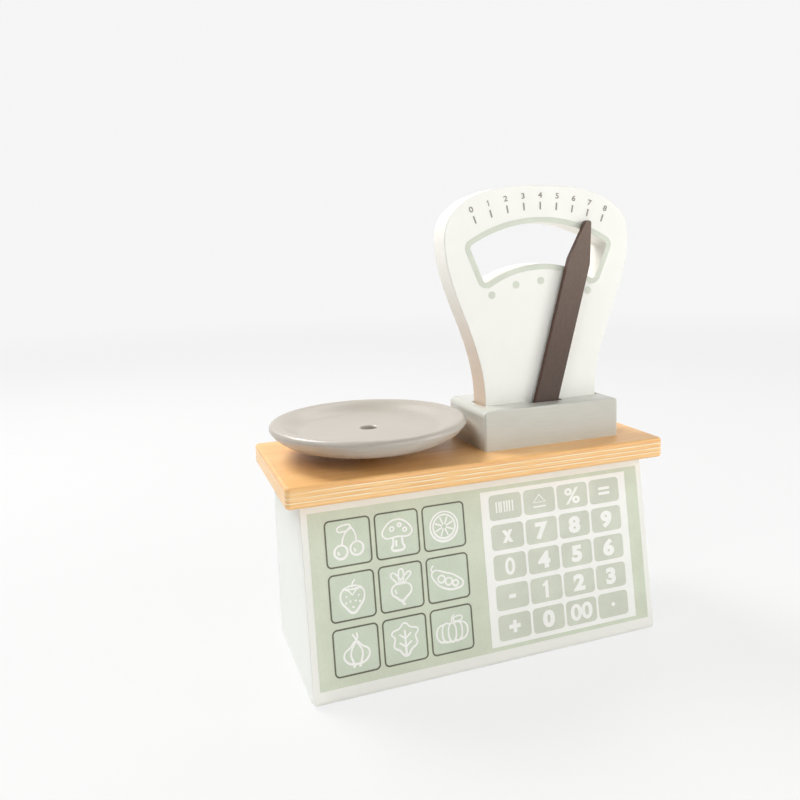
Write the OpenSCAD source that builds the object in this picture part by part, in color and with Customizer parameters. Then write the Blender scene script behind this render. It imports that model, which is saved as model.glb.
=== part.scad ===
// Wooden toy shop scale. A turned dish on a sprung stem presses a rocker inside the housing,
// and the rocker swings a pointer across a dial board that stands in a block.
// Millimetres. X runs along the board, Y runs to the back, Z runs up from the table.
// The moving pieces stand where the pointer reads the shown mark.

/* [Board] */
// Length of the top board
board_w = 240; // [220:1:300]
// Depth of the top board
board_d = 105; // [98:1:140]
// Thickness of the top board
board_t = 12.5; // [9:0.5:20]
// Radius of the board's upright corners
board_corner_r = 3; // [1:0.5:12]

/* [Housing] */
// Height of the panels under the board
body_h = 111; // [100:1:150]
// Overhang of the board past each side panel
side_overhang = 9; // [4:0.5:14]
// Overhang of the board past the back panel
back_overhang = 11.5; // [4:0.5:14]
// Overhang of the board past the top edge of the front panel
front_overhang = 12; // [4:0.5:14]
// How far the front panel runs out from its top to its foot
front_run = 17; // [10:0.5:30]
// Thickness of the four panels
panel_t = 6; // [4:0.5:8]
// Thickness of the base plate
base_t = 6; // [5:0.5:9]
// Side of the square corner posts
post_w = 14; // [12:0.5:18]

/* [Dish] */
// Board left bare to the left of the dish
dish_inset = 2; // [0:0.5:12]
// Height of the dish
dish_h = 15; // [13:0.5:22]
// Radius of the flat under the dish
dish_foot_r = 32; // [24:0.5:36]
// Thickness of the dish at its middle
dish_floor = 9; // [7.5:0.5:9.5]
// Air between the dish and the board at the shown mark
dish_gap = 6; // [4:0.5:12]
// Air between the dish and the block
dish_clear = 2.25; // [1.5:0.25:6]

/* [Block] */
// Length of the block that holds the dial
block_w = 94.5; // [90:0.5:110]
// Depth of the block
block_d = 54.5; // [48:0.5:64]
// Height of the block
block_h = 25; // [22:0.5:34]
// Radius of the block's upright corners
block_corner_r = 2; // [1:0.5:8]
// Radius of the block's upper edges at its front and back
block_edge_r = 1.5; // [0.5:0.25:5]
// Radius of the block's upper edges at its two ends
block_end_r = 4.5; // [0.5:0.25:6]
// Board left bare to the right of the block
block_inset = 21.25; // [12:0.25:26]
// Board left bare in front of the block
block_setback = 18; // [14:0.5:22]

/* [Dial board] */
// Thickness of the dial board
dial_t = 18; // [12:0.5:20]
// Width of the dial board where it enters the block
dial_foot_w = 79; // [70:0.5:86]
// Greatest width of the dial board
dial_w = 129; // [120:0.5:140]
// Height of the dial board above the block
dial_h = 135; // [128:0.5:150]
// Height above the block where the dial board is widest
dial_shoulder = 101.5; // [92:0.5:106]
// Depth of the dial board's foot in the block
dial_sink = 18; // [14:0.5:19]
// Block left in front of the dial board
dial_setback = 14.5; // [12:0.5:18]
// Height of the window's upper edge above the block
window_top = 112; // [106:0.5:116]
// Height of the window's lower edge above the block, at its middle
window_bottom = 86.5; // [80:0.5:92]
// Radius of the window's upper edge
window_top_r = 92; // [80:0.5:110]
// Radius of the window's lower edge
window_bottom_r = 70; // [62:0.5:100]
// Slant of the window's ends
window_angle = 23; // [20:0.5:26]
// Radius of the window's corners
window_corner_r = 2.5; // [0.5:0.25:4]
// Width of the printed border round the window
border_w = 3.4; // [2:0.1:5]

/* [Scale marks] */
// Number of steps on the scale
marks = 8; // [6:1:8]
// Mark that the pointer shows
shown_mark = 7; // [4:1:7]
// Swing of the pointer from one mark to the next
mark_angle = 5.15; // [4.5:0.05:5.4]
// Travel of the dish from one mark to the next
mark_travel = 1.5; // [1.2:0.05:1.6]
// Distance of the marks from the window's upper edge
tick_gap = 8; // [7:0.25:10]
// Length of a mark
tick_len = 4.6; // [3:0.1:5]
// Width of a mark
tick_w = 0.9; // [0.6:0.1:2]
// Distance of the dots from the window's lower edge
dot_gap = 10.5; // [7:0.25:16]
// Radius of a dot
dot_r = 2.3; // [1:0.1:3]

/* [Pointer] */
// Width of the pointer
pointer_w = 15.5; // [11:0.5:17]
// Thickness of the pointer
pointer_t = 3.5; // [3:0.25:4.5]
// Air between the pointer's tip and the foot of the marks
pointer_short = 3; // [1:0.25:8]
// Length of the taper towards the tip
pointer_taper = 26; // [20:0.5:50]
// Width of the tip
pointer_tip_w = 3.25; // [2.5:0.25:7]
// Air between the pointer and the dial board
pointer_gap = 1; // [0.9:0.1:2]
// Depth of the pivot below the top of the block
pivot_depth = 4.5; // [4:0.25:8]

/* [Print on the front] */
// Bare edge left and right of the print
print_margin = 4; // [2:0.5:12]
// Bare edge under the print, along the slope
print_foot = 8.2; // [4:0.1:9]
// Bare edge over the print, along the slope
print_head = 7.1; // [4:0.1:9]
// Thickness of the printed film
print_t = 0.2; // [0.2:0.05:0.4]
// Distance between two picture squares across
tile_gap_x = 2.2; // [1:0.1:5]
// Distance between two picture squares upwards
tile_gap_z = 3.4; // [1:0.1:5]
// Print left bare to the left of the picture squares
tile_inset_x = 8.8; // [4:0.1:12]
// Print left bare above and below the picture squares
tile_inset_z = 5.3; // [3:0.1:8]
// Distance from the picture squares to the keypad field
field_gap = 11.1; // [4:0.1:16]
// Line width of the picture squares
tile_line = 0.9; // [0.5:0.1:1.5]
// Width of the keypad field
keypad_w = 101.2; // [97:0.1:103]
// Print left bare to the right of the keypad field
keypad_inset_x = 9; // [4:0.1:12]
// Print left bare above and below the keypad field
keypad_inset_z = 2.5; // [1:0.1:4]
// White rim left and right of the keys
key_rim_x = 5.15; // [2:0.05:8]
// White rim above and below the keys
key_rim_z = 2.6; // [1:0.1:6]
// Distance between two keys across
key_gap_x = 1.5; // [0.8:0.1:4]
// Distance between two keys upwards
key_gap_z = 2.7; // [0.8:0.1:4]

/* [Mechanism] */
// Height of the rocker shaft above the table
rocker_z = 23.5; // [21:0.5:30]
// Radius of the dish stem
stem_r = 6; // [5:0.25:7]
// Radius of the rocker shaft
shaft_r = 5; // [4:0.25:6]
// Thickness of the long arm
arm_t = 10; // [7:0.5:12]
// Height of the long arm
arm_h = 11; // [8:0.5:12]
// Radius of the pointer's pivot pin
pin_r = 1.6; // [1.3:0.1:2]
// Radius of the return spring to the middle of its wire
spring_r = 4.6; // [4:0.1:6]
// Radius of the spring wire
wire_r = 0.45; // [0.35:0.05:0.5]
// Turns of the return spring
spring_turns = 6; // [4:1:6]

/* [Hidden] */
$fn = 48;

// Clearances and the overrun of every cut
fit_gap = 0.05;
slide_gap = 0.08;
part_gap = 0.3;
slot_gap = 0.15;
over = 1;

// Counts
arc_steps = 8;
curve_steps = 20;
dish_steps = 12;
tile_count = 3;
key_columns = 4;
key_rows = 5;
dot_count = 5;
wire_sides = 6;
turn_steps = 8;

// Housing
body_w = board_w - 2 * side_overhang;
back_y = board_d / 2 - back_overhang;
front_top_y = front_overhang - board_d / 2;
front_foot_y = front_top_y - front_run;
front_angle = atan(front_run / body_h);
panel_run = panel_t / cos(front_angle);
inner_w = body_w - 2 * panel_t;
inner_back_y = back_y - panel_t;
post_x = inner_w / 2 - post_w / 2;
board_top = body_h + board_t;

// Block and dial board
block_x = board_w / 2 - block_inset - block_w / 2;
block_front_y = block_setback - board_d / 2;
block_back_y = block_front_y + block_d;
block_top = board_top + block_h;
dial_y = block_front_y + dial_setback;
dial_back_y = dial_y + dial_t;
dial_bottom = block_top - dial_sink;
slot_end = 2;
lean_power = 1.12;
crown_power = 2.4;
window_side_rise = -16;
dot_angle = 12.5;

// Pointer
pivot_z = block_top - pivot_depth;
tick_r = pivot_depth + window_top + tick_gap;
dot_ring_r = pivot_depth + window_bottom - dot_gap;
pointer_reach = tick_r - pointer_short;
pointer_back_y = dial_y - pointer_gap;
pointer_front_y = pointer_back_y - pointer_t;
pin_head_r = 3.8;
pin_head_t = 1;
pin_sink = 12;
washer_gap = 0.1;
washer_r = 3.8;
head_y = pointer_front_y - washer_gap - pin_head_t;
pocket_front_y = head_y - part_gap;
tip_corner_r = 1.5;
shoulder_r = 14;

// Dish, stem and rocker
dish_room = board_w - block_inset - block_w - dish_clear - dish_inset;
dish_r = dish_room / 2;
dish_x = block_x - block_w / 2 - dish_clear - dish_r;
dish_z = board_top + dish_gap;
lever = block_x - dish_x;
mark_turn = mark_travel / lever * 180 / PI;
gear = mark_angle / mark_turn;
tail_len = (pivot_z - rocker_z) / (1 + gear);
upright_len = pivot_z - rocker_z - tail_len;
mid_steps = shown_mark - marks / 2;
pointer_lean = mid_steps * mark_angle;
rocker_lean = mid_steps * mark_turn;
travel_up = shown_mark * mark_travel;
travel_down = (marks - shown_mark) * mark_travel;
end_swing = marks / 2 * mark_angle;

// Rim, underside, inner slope and hole of the dish
lip_w = 3;
lip_drop = 3;
dish_turn = 75;
dish_slope_w = 17;
dish_web = 3;
screw_head_r = 4.2;
screw_head_h = 2;
screw_well_r = 5.2;
screw_r = 2;
screw_len = 22;
dish_washer_r = 4.8;
dish_washer_t = 0.8;
recess_w = 1.2;
recess_d = 1.2;

// Stem, bush, collar and foot
bush_wall = 3;
bush_r = stem_r + bush_wall;
flange_lip = 4;
flange_r = bush_r + flange_lip;
flange_t = 2.5;
collar_wall = 6;
collar_r = stem_r + collar_wall;
collar_h = 8;
collar_pin_r = 1.5;
collar_top = body_h - flange_t - travel_up - part_gap;
guide_t = 12;
guide_rim = 3;
guide_w = 2 * (collar_r + guide_rim);
guide_top = collar_top - collar_h - travel_down - part_gap;
nose_swell = 1;
arm_nose_r = arm_h / 2 + nose_swell;
fork_roof = rocker_z + arm_nose_r + part_gap;
fork_drop = 3.5;
foot_web = 4;
foot_socket = 12;
foot_wall = 7;
foot_r = max(stem_r, arm_t / 2) + foot_wall;
foot_floor = fork_roof + foot_web;
end_gap = 0.2;

// Rocker
arm_hub_wall = 7;
arm_hub_r = shaft_r + arm_hub_wall;
upright_hub_wall = 4;
upright_hub_r = shaft_r + upright_hub_wall;
nose_r = 2.2;
nose_gap = 0.6;
neck_w = 3;
prong_w = 2.2;
prong_rise = 2;
notch_drop = 3.5;
fork_w = 2 * (nose_r + nose_gap + prong_w);
upright_w = 9;
pocket_side = 1.3;
pocket_w = fork_w + 2 * (upright_len * tan(marks / 2 * mark_turn) + pocket_side);
bearing_t = 10;
bearing_w = 26;
bearing_rise = 16.5;
bearing_web = 2;
rear_gap = 7;
bearing_top = rocker_z + bearing_rise;
front_bearing_y = front_foot_y + front_run * bearing_top / body_h + panel_run + part_gap;
rear_bearing_y = arm_t / 2 + rear_gap;
shaft_front_y = front_bearing_y + bearing_web;
shaft_back_y = rear_bearing_y + bearing_t - bearing_web;
arm_pin_r = 1.5;
upright_pin_r = 1;
upright_pin_len = 14;
arm_pin_len = 18;

// Spring
spring_offset = 27;
spring_x = dish_x + spring_offset;
spring_bottom = base_t + part_gap;
spring_top = rocker_z - arm_h / 2 - part_gap;
peg_gap = 1.2;
peg_r = spring_r - wire_r - peg_gap;
peg_sink = 4;
peg_rise = (spring_top - spring_bottom) / 2;

// Wood screws and dowels
wood_screw_r = 1.8;
wood_head_r = 3.8;
wood_head_h = 2.2;
head_recess = 0.4;
base_screw_len = 24;
bearing_screw_len = 20;
block_screw_len = 28;
dowel_r = 3;
dowel_sink = 12;
dowel_rise = 8;
block_screw_x = 34;
block_screw_back = 11;
block_screw_front = 7;
bearing_screw_x = 8;

// Print
tile_corner_r = 3;
key_corner_r = 2.6;
film_step = print_t / 2;
print_w = body_w - 2 * print_margin;
print_h = norm([front_run, body_h]) - print_foot - print_head;
tile_field = print_w - tile_inset_x - field_gap - keypad_w - keypad_inset_x;
tile_w = (tile_field - (tile_count - 1) * tile_gap_x) / tile_count;
tile_h = (print_h - 2 * tile_inset_z - (tile_count - 1) * tile_gap_z) / tile_count;
keypad_h = print_h - 2 * keypad_inset_z;
key_w = (keypad_w - 2 * key_rim_x - (key_columns - 1) * key_gap_x) / key_columns;
key_h = (keypad_h - 2 * key_rim_z - (key_rows - 1) * key_gap_z) / key_rows;

// A point on the inner face of the front panel, at height z
function front_in(z) = front_foot_y + front_run * z / body_h + panel_run;

function unit(v) = v / norm(v);

// The shortest turn from one direction to another, in degrees
function wrap(a) = a > 180 ? a - 360 : (a < -180 ? a + 360 : a);

// Points of one rounded corner p between its neighbours a and b
function corner_arc(p, a, b, r) =
    let (u = unit(a - p), w = unit(b - p), half = acos(u * w) / 2,
        c = p + unit(u + w) * r / sin(half), s = p + u * r / tan(half), e = p + w * r / tan(half),
        from = atan2(s.y - c.y, s.x - c.x), turn = wrap(atan2(e.y - c.y, e.x - c.x) - from))
    [for (i = [0:arc_steps]) c + r * [cos(from + turn * i / arc_steps), sin(from + turn * i / arc_steps)]];

// An outline of [x, y, corner radius] entries, with each radius above zero rounded
function rounded(list) =
    let (n = len(list), at = function (i) let (q = list[(i + n) % n]) [q.x, q.y])
    [for (i = [0:n - 1]) each (list[i][2] > 0 ? corner_arc(at(i), at(i - 1), at(i + 1), list[i][2]) : [at(i)])];

// A rectangle centred on the origin with rounded corners
function rounded_rect(w, h, r) =
    rounded([[-w / 2, -h / 2, r], [w / 2, -h / 2, r], [w / 2, h / 2, r], [-w / 2, h / 2, r]]);

// A rectangle that stands on the origin's level, with its two upper corners rounded
function dome_rect(w, h, r) = rounded([[-w / 2, 0, 0], [w / 2, 0, 0], [w / 2, h, r], [-w / 2, h, r]]);

// Right half of the dial board's outline, from its foot up to its crown, seen from the front
function side_share(t) = let (s = pow(t, lean_power)) s * s * (3 - 2 * s);
function dial_half() = concat(
    [[dial_foot_w / 2, -dial_sink]],
    [for (i = [0:curve_steps]) let (t = i / curve_steps)
        [dial_foot_w / 2 + (dial_w - dial_foot_w) / 2 * side_share(t), dial_shoulder * t]],
    [for (i = [1:curve_steps - 1]) let (a = 90 * i / curve_steps)
        [dial_w / 2 * pow(cos(a), 2 / crown_power),
            dial_shoulder + (dial_h - dial_shoulder) * pow(sin(a), 2 / crown_power)]],
    [[0, dial_h]]);

// A half outline with its mirror image, closed over the top
function both_sides(half) =
    concat(half, [for (i = [len(half) - 2:-1:0]) [-half[i].x, half[i].y]]);

// Where a slanted end line meets an arc about [0, c] of radius r; the line passes [x0, z0]
function end_meets(x0, z0, c, r) =
    let (dx = sin(window_angle), dz = cos(window_angle), b = x0 * dx + (z0 - c) * dz,
        q = x0 * x0 + (z0 - c) * (z0 - c) - r * r, t = -b + sqrt(b * b - q))
    [x0 + dx * t, z0 + dz * t];

// Outline of the window, grown outwards by g for its printed border
function window_outline(g) =
    let (ct = window_top - window_top_r, cb = window_bottom - window_bottom_r,
        rt = window_top_r + g, rb = window_bottom_r - g,
        x0 = g / cos(window_angle), z0 = window_side_rise,
        top = end_meets(x0, z0, ct, rt), low = end_meets(x0, z0, cb, rb),
        at = asin(top.x / rt), al = asin(low.x / rb), r = window_corner_r + g)
    rounded(concat(
        [[low.x, low.y, r], [top.x, top.y, r]],
        [for (i = [1:curve_steps - 1]) let (a = at * (1 - 2 * i / curve_steps)) [rt * sin(a), ct + rt * cos(a), 0]],
        [[-top.x, top.y, r], [-low.x, low.y, r]],
        [for (i = [1:curve_steps - 1]) let (a = al * (2 * i / curve_steps - 1)) [rb * sin(a), cb + rb * cos(a), 0]]));

// Half section of the dish, from the middle of its underside round to the middle of its floor
function dish_section() = concat(
    [[0, 0]],
    [for (i = [0:dish_steps]) let (a = dish_turn * i / dish_steps)
        [dish_foot_r + (dish_r - dish_foot_r) * sin(a) / sin(dish_turn),
            (dish_h - lip_drop) * (1 - cos(a)) / (1 - cos(dish_turn))]],
    [for (i = [0:dish_steps / 2]) let (a = 180 * i / dish_steps)
        [dish_r - lip_w + lip_w * cos(a), dish_h - lip_drop + lip_drop * sin(a)]],
    [for (i = [1:dish_steps]) let (t = i / dish_steps)
        [dish_r - lip_w - dish_slope_w * t, dish_floor + (dish_h - dish_floor) * (1 + cos(180 * t)) / 2]],
    [[0, dish_floor]]);

// Middle line of the spring's wire
function spring_point(i) =
    let (n = spring_turns * turn_steps, a = 360 * i / turn_steps)
    [spring_r * cos(a), spring_r * sin(a),
        spring_bottom + wire_r + (spring_top - spring_bottom - 2 * wire_r) * i / n];

// One ring of the wire's skin
function wire_ring(i) =
    let (a = 360 * i / turn_steps, c = spring_point(i))
    [for (k = [0:wire_sides - 1]) let (b = 360 * k / wire_sides)
        c + wire_r * [cos(b) * cos(a), cos(b) * sin(a), sin(b)]];

// Draws its children, outlines in Y and Z, as a slab of width w about X = 0
module along_x(w) {
    rotate([90, 0, 90])
        linear_extrude(height = w, center = true)
            children();
}

// Draws its children, outlines in X and Z, as a slab from y0 to y1
module along_y(y0, y1) {
    translate([0, y1, 0])
        rotate([90, 0, 0])
            linear_extrude(height = y1 - y0)
                children();
}

// A round bar along Y
module bar_y(r, y0, y1) {
    translate([0, y0, 0])
        rotate([-90, 0, 0])
            cylinder(h = y1 - y0, r = r);
}

// A slab with rounded upright corners, standing on Z = 0
module rounded_slab(w, d, h, r) {
    linear_extrude(height = h)
        polygon(rounded_rect(w, d, r));
}

// A countersunk wood screw that points up, its head at Z = 0; grown by g it is its own hole
module wood_screw(length, g = 0) {
    cylinder(h = wood_head_h, r1 = wood_head_r + g, r2 = wood_screw_r + g);
    cylinder(h = length + g, r = wood_screw_r + g);
}

// Places for the corner posts, with the Y of the post's middle at height z
module at_posts(z) {
    for (sx = [-1, 1], y = [front_in(z) + post_w / 2, inner_back_y - post_w / 2])
        translate([sx * post_x, y, 0])
            children();
}

module at_block_screws() {
    for (sx = [-1, 1], y = [block_front_y + block_screw_front, block_back_y - block_screw_back])
        translate([block_x + sx * block_screw_x, y, body_h + head_recess])
            children();
}

module at_bearing_screws() {
    for (sx = [-1, 1], y = [front_bearing_y + bearing_t / 2, rear_bearing_y + bearing_t / 2])
        translate([block_x + sx * bearing_screw_x, y, head_recess])
            children();
}

// Frame of the front panel: X across, Y up the slope, Z out of its face
module on_front() {
    translate([0, front_foot_y, 0])
        rotate([90 - front_angle, 0, 0])
            children();
}

// Frame of the pointer and of the upright arm, turned about their own pivots
module at_pivot(lean) {
    translate([block_x, 0, pivot_z])
        rotate([0, lean, 0])
            children();
}

module at_shaft(lean) {
    translate([block_x, 0, rocker_z])
        rotate([0, -lean, 0])
            children();
}

module base_plate() {
    color("BurlyWood")
        difference() {
            along_x(inner_w)
                polygon([[front_in(0), 0], [front_in(base_t), base_t], [inner_back_y, base_t], [inner_back_y, 0]]);
            at_posts(base_t)
                translate([0, 0, head_recess])
                    wood_screw(base_screw_len, fit_gap);
            at_posts(base_t)
                translate([0, 0, head_recess - over])
                    cylinder(h = over, r = wood_head_r + fit_gap);
            at_bearing_screws()
                wood_screw(bearing_screw_len, fit_gap);
            at_bearing_screws()
                translate([0, 0, -over])
                    cylinder(h = over, r = wood_head_r + fit_gap);
            translate([spring_x, 0, base_t - peg_sink])
                cylinder(h = peg_sink + over, r = peg_r + fit_gap);
        }
}

module front_panel() {
    color("Ivory")
        along_x(body_w)
            polygon([[front_foot_y, 0], [front_top_y, body_h], [front_in(body_h), body_h], [front_in(0), 0]]);
}

module back_panel() {
    color("Ivory")
        translate([-body_w / 2, inner_back_y, 0])
            cube([body_w, panel_t, body_h]);
}

module side_panel(side) {
    color("Ivory")
        translate([side * (body_w - panel_t) / 2, 0, 0])
            along_x(panel_t)
                polygon([[front_in(0), 0], [front_in(body_h), body_h], [inner_back_y, body_h], [inner_back_y, 0]]);
}

module left_panel() {
    side_panel(-1);
}

module right_panel() {
    side_panel(1);
}

module corner_posts() {
    color("Wheat")
        difference() {
            for (sx = [-1, 1]) {
                translate([sx * post_x, 0, 0])
                    along_x(post_w)
                        polygon([[front_in(base_t), base_t], [front_in(body_h), body_h],
                            [front_in(body_h) + post_w, body_h], [front_in(base_t) + post_w, base_t]]);
                translate([sx * post_x - post_w / 2, inner_back_y - post_w, base_t])
                    cube([post_w, post_w, body_h - base_t]);
            }
            at_posts(base_t)
                translate([0, 0, head_recess])
                    wood_screw(base_screw_len, fit_gap);
            at_posts(body_h)
                translate([0, 0, body_h - dowel_sink - fit_gap])
                    cylinder(h = dowel_sink + over, r = dowel_r + fit_gap);
        }
}

module base_screws() {
    color("Silver")
        at_posts(base_t)
            translate([0, 0, head_recess])
                wood_screw(base_screw_len);
}

module board_dowels() {
    color("Tan")
        at_posts(body_h)
            translate([0, 0, body_h - dowel_sink])
                cylinder(h = dowel_sink + dowel_rise, r = dowel_r);
}

module top_board() {
    color("SandyBrown")
        difference() {
            translate([0, 0, body_h])
                rounded_slab(board_w, board_d, board_t, board_corner_r);
            translate([dish_x, 0, body_h - over])
                cylinder(h = board_t + 2 * over, r = bush_r + fit_gap);
            translate([block_x - pocket_w / 2, pocket_front_y, body_h - over])
                cube([pocket_w, dial_y - pocket_front_y, board_t + 2 * over]);
            at_posts(body_h)
                translate([0, 0, body_h - over])
                    cylinder(h = dowel_rise + fit_gap + over, r = dowel_r + fit_gap);
            at_block_screws()
                wood_screw(block_screw_len, fit_gap);
            at_block_screws()
                translate([0, 0, -over])
                    cylinder(h = over, r = wood_head_r + fit_gap);
        }
}

module picture_tiles() {
    for (column = [0:tile_count - 1], row = [0:tile_count - 1])
        translate([tile_inset_x + tile_w / 2 + column * (tile_w + tile_gap_x) - print_w / 2,
            print_foot + print_h - tile_inset_z - tile_h / 2 - row * (tile_h + tile_gap_z)])
            difference() {
                polygon(rounded_rect(tile_w, tile_h, tile_corner_r));
                polygon(rounded_rect(tile_w - 2 * tile_line, tile_h - 2 * tile_line, tile_corner_r - tile_line));
            }
}

module keypad_place() {
    translate([print_w / 2 - keypad_inset_x - keypad_w / 2, print_foot + print_h / 2])
        children();
}

module key_shapes() {
    for (column = [0:key_columns - 1], row = [0:key_rows - 1])
        translate([(column - (key_columns - 1) / 2) * (key_w + key_gap_x),
            ((key_rows - 1) / 2 - row) * (key_h + key_gap_z)])
            polygon(rounded_rect(key_w, key_h, key_corner_r));
}

module front_print() {
    color("DarkSeaGreen")
        on_front()
            translate([-print_w / 2, print_foot, 0])
                cube([print_w, print_h, film_step]);
    color("DarkOliveGreen")
        on_front()
            linear_extrude(height = print_t)
                picture_tiles();
    color("Ivory")
        on_front()
            linear_extrude(height = print_t)
                keypad_place()
                    difference() {
                        square([keypad_w, keypad_h], center = true);
                        key_shapes();
                    }
}

// The block's outside, with its upright corners and its upper edges rounded
module eased_block() {
    intersection() {
        rounded_slab(block_w, block_d, block_h, block_corner_r);
        along_x(block_w + over)
            polygon(dome_rect(block_d, block_h, block_edge_r));
        along_y(-block_d, block_d)
            polygon(dome_rect(block_w, block_h, block_end_r));
    }
}

module dial_block() {
    color("DarkGray")
        difference() {
            translate([block_x, block_front_y + block_d / 2, board_top])
                eased_block();
            translate([block_x, dial_y + dial_t / 2, dial_bottom])
                rounded_slab(dial_foot_w + 2 * slot_end, dial_t + 2 * slot_gap, dial_sink + over, slot_end);
            translate([block_x - pocket_w / 2, pocket_front_y, board_top - over])
                cube([pocket_w, dial_y - pocket_front_y, block_h + 2 * over]);
            at_block_screws()
                wood_screw(block_screw_len, fit_gap);
        }
}

module block_screws() {
    color("Silver")
        at_block_screws()
            wood_screw(block_screw_len);
}

module dial_board() {
    color("FloralWhite")
        translate([block_x, 0, block_top])
            difference() {
                along_y(dial_y, dial_back_y)
                    polygon(both_sides(dial_half()));
                along_y(dial_y - over, dial_back_y + over)
                    polygon(window_outline(0));
                translate([0, 0, -pivot_depth])
                    bar_y(pin_r + fit_gap, dial_y - over, dial_y + pin_sink + fit_gap);
            }
}

module dial_print() {
    color("DarkSeaGreen")
        translate([block_x, 0, block_top])
            along_y(dial_y - print_t, dial_y)
                difference() {
                    polygon(window_outline(border_w));
                    polygon(window_outline(0));
                }
    color("DarkSeaGreen")
        for (i = [0:dot_count - 1])
            at_pivot((i - (dot_count - 1) / 2) * dot_angle)
                translate([0, 0, dot_ring_r])
                    bar_y(dot_r, dial_y - print_t, dial_y);
    color("DimGray")
        for (i = [0:marks])
            at_pivot((i - marks / 2) * mark_angle)
                translate([-tick_w / 2, dial_y - print_t, tick_r])
                    cube([tick_w, print_t, tick_len]);
}

module pointer() {
    color("SaddleBrown")
        at_pivot(pointer_lean)
            along_y(pointer_front_y, pointer_back_y)
                difference() {
                    union() {
                        polygon(rounded([[-pointer_w / 2, 0, 0], [pointer_w / 2, 0, 0],
                            [pointer_w / 2, pointer_reach - pointer_taper, shoulder_r],
                            [pointer_tip_w / 2, pointer_reach, tip_corner_r],
                            [-pointer_tip_w / 2, pointer_reach, tip_corner_r],
                            [-pointer_w / 2, pointer_reach - pointer_taper, shoulder_r]]));
                        circle(r = pointer_w / 2);
                        translate([-neck_w / 2, -tail_len])
                            square([neck_w, tail_len]);
                        translate([0, -tail_len])
                            circle(r = nose_r);
                    }
                    circle(r = pin_r + fit_gap);
                }
}

module pointer_pin() {
    color("Silver")
        translate([block_x, 0, pivot_z]) {
            bar_y(pin_head_r, head_y, head_y + pin_head_t);
            bar_y(pin_r, head_y, dial_y + pin_sink);
        }
}

module pointer_washer() {
    color("Gainsboro")
        translate([block_x, 0, pivot_z])
            difference() {
                bar_y(washer_r, pointer_back_y + washer_gap, dial_y - washer_gap);
                bar_y(pin_r + fit_gap, pointer_back_y, dial_y);
            }
}

module guide_bush() {
    color("Peru")
        translate([dish_x, 0, body_h])
            difference() {
                union() {
                    cylinder(h = board_t, r = bush_r);
                    translate([0, 0, -flange_t])
                        cylinder(h = flange_t, r = flange_r);
                }
                translate([0, 0, -flange_t - over])
                    cylinder(h = board_t + flange_t + 2 * over, r = stem_r + slide_gap);
            }
}

module lower_guide() {
    color("Wheat")
        translate([dish_x, 0, 0])
            difference() {
                along_x(guide_w)
                    polygon([[front_in(guide_top - guide_t), guide_top - guide_t], [front_in(guide_top), guide_top],
                        [inner_back_y, guide_top], [inner_back_y, guide_top - guide_t]]);
                translate([0, 0, guide_top - guide_t - over])
                    cylinder(h = guide_t + 2 * over, r = stem_r + slide_gap);
            }
}

module dish() {
    color("LightGray")
        translate([dish_x, 0, dish_z])
            difference() {
                rotate_extrude($fn = 96)
                    polygon(dish_section());
                translate([0, 0, -over])
                    cylinder(h = dish_floor + over, r = screw_r + fit_gap);
                translate([0, 0, dish_web])
                    cylinder(h = dish_floor + over, r = screw_well_r);
            }
}

module dish_screw() {
    color("Silver")
        translate([dish_x, 0, dish_z + dish_web + dish_washer_t])
            difference() {
                union() {
                    cylinder(h = screw_head_h, r = screw_head_r);
                    translate([0, 0, -screw_len])
                        cylinder(h = screw_len, r = screw_r);
                }
                for (a = [0, 90])
                    rotate([0, 0, a])
                        translate([-screw_head_r / 2, -recess_w / 2, screw_head_h - recess_d])
                            cube([screw_head_r, recess_w, recess_d + over]);
            }
}

module dish_washer() {
    color("Gainsboro")
        translate([dish_x, 0, dish_z + dish_web])
            difference() {
                cylinder(h = dish_washer_t, r = dish_washer_r);
                translate([0, 0, -over])
                    cylinder(h = dish_washer_t + 2 * over, r = screw_r + fit_gap);
            }
}

module stem() {
    color("Tan")
        translate([dish_x, 0, 0])
            difference() {
                translate([0, 0, foot_floor + end_gap])
                    cylinder(h = dish_z - foot_floor - end_gap, r = stem_r);
                translate([0, 0, dish_z + dish_web + dish_washer_t - screw_len - fit_gap])
                    cylinder(h = screw_len, r = screw_r + fit_gap);
                translate([0, 0, collar_top - collar_h / 2])
                    rotate([0, 0, 90])
                        bar_y(collar_pin_r + fit_gap, -stem_r - over, stem_r + over);
            }
}

module stop_collar() {
    color("Wheat")
        translate([dish_x, 0, collar_top - collar_h])
            difference() {
                cylinder(h = collar_h, r = collar_r);
                translate([0, 0, -over])
                    cylinder(h = collar_h + 2 * over, r = stem_r + fit_gap);
                translate([0, 0, collar_h / 2])
                    rotate([0, 0, 90])
                        bar_y(collar_pin_r + fit_gap, -collar_r - over, collar_r + over);
            }
}

module collar_pin() {
    color("Silver")
        translate([dish_x, 0, collar_top - collar_h / 2])
            rotate([0, 0, 90])
                bar_y(collar_pin_r, part_gap - collar_r, collar_r - part_gap);
}

module stem_foot() {
    color("Wheat")
        translate([dish_x, 0, 0])
            difference() {
                translate([0, 0, rocker_z - fork_drop])
                    cylinder(h = foot_floor + foot_socket - rocker_z + fork_drop, r = foot_r);
                translate([0, 0, foot_floor])
                    cylinder(h = foot_socket + over, r = stem_r + fit_gap);
                translate([-foot_r - over, -arm_t / 2 - part_gap, rocker_z - fork_drop - over])
                    cube([2 * (foot_r + over), arm_t + 2 * part_gap, fork_roof - rocker_z + fork_drop + over]);
            }
}

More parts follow.
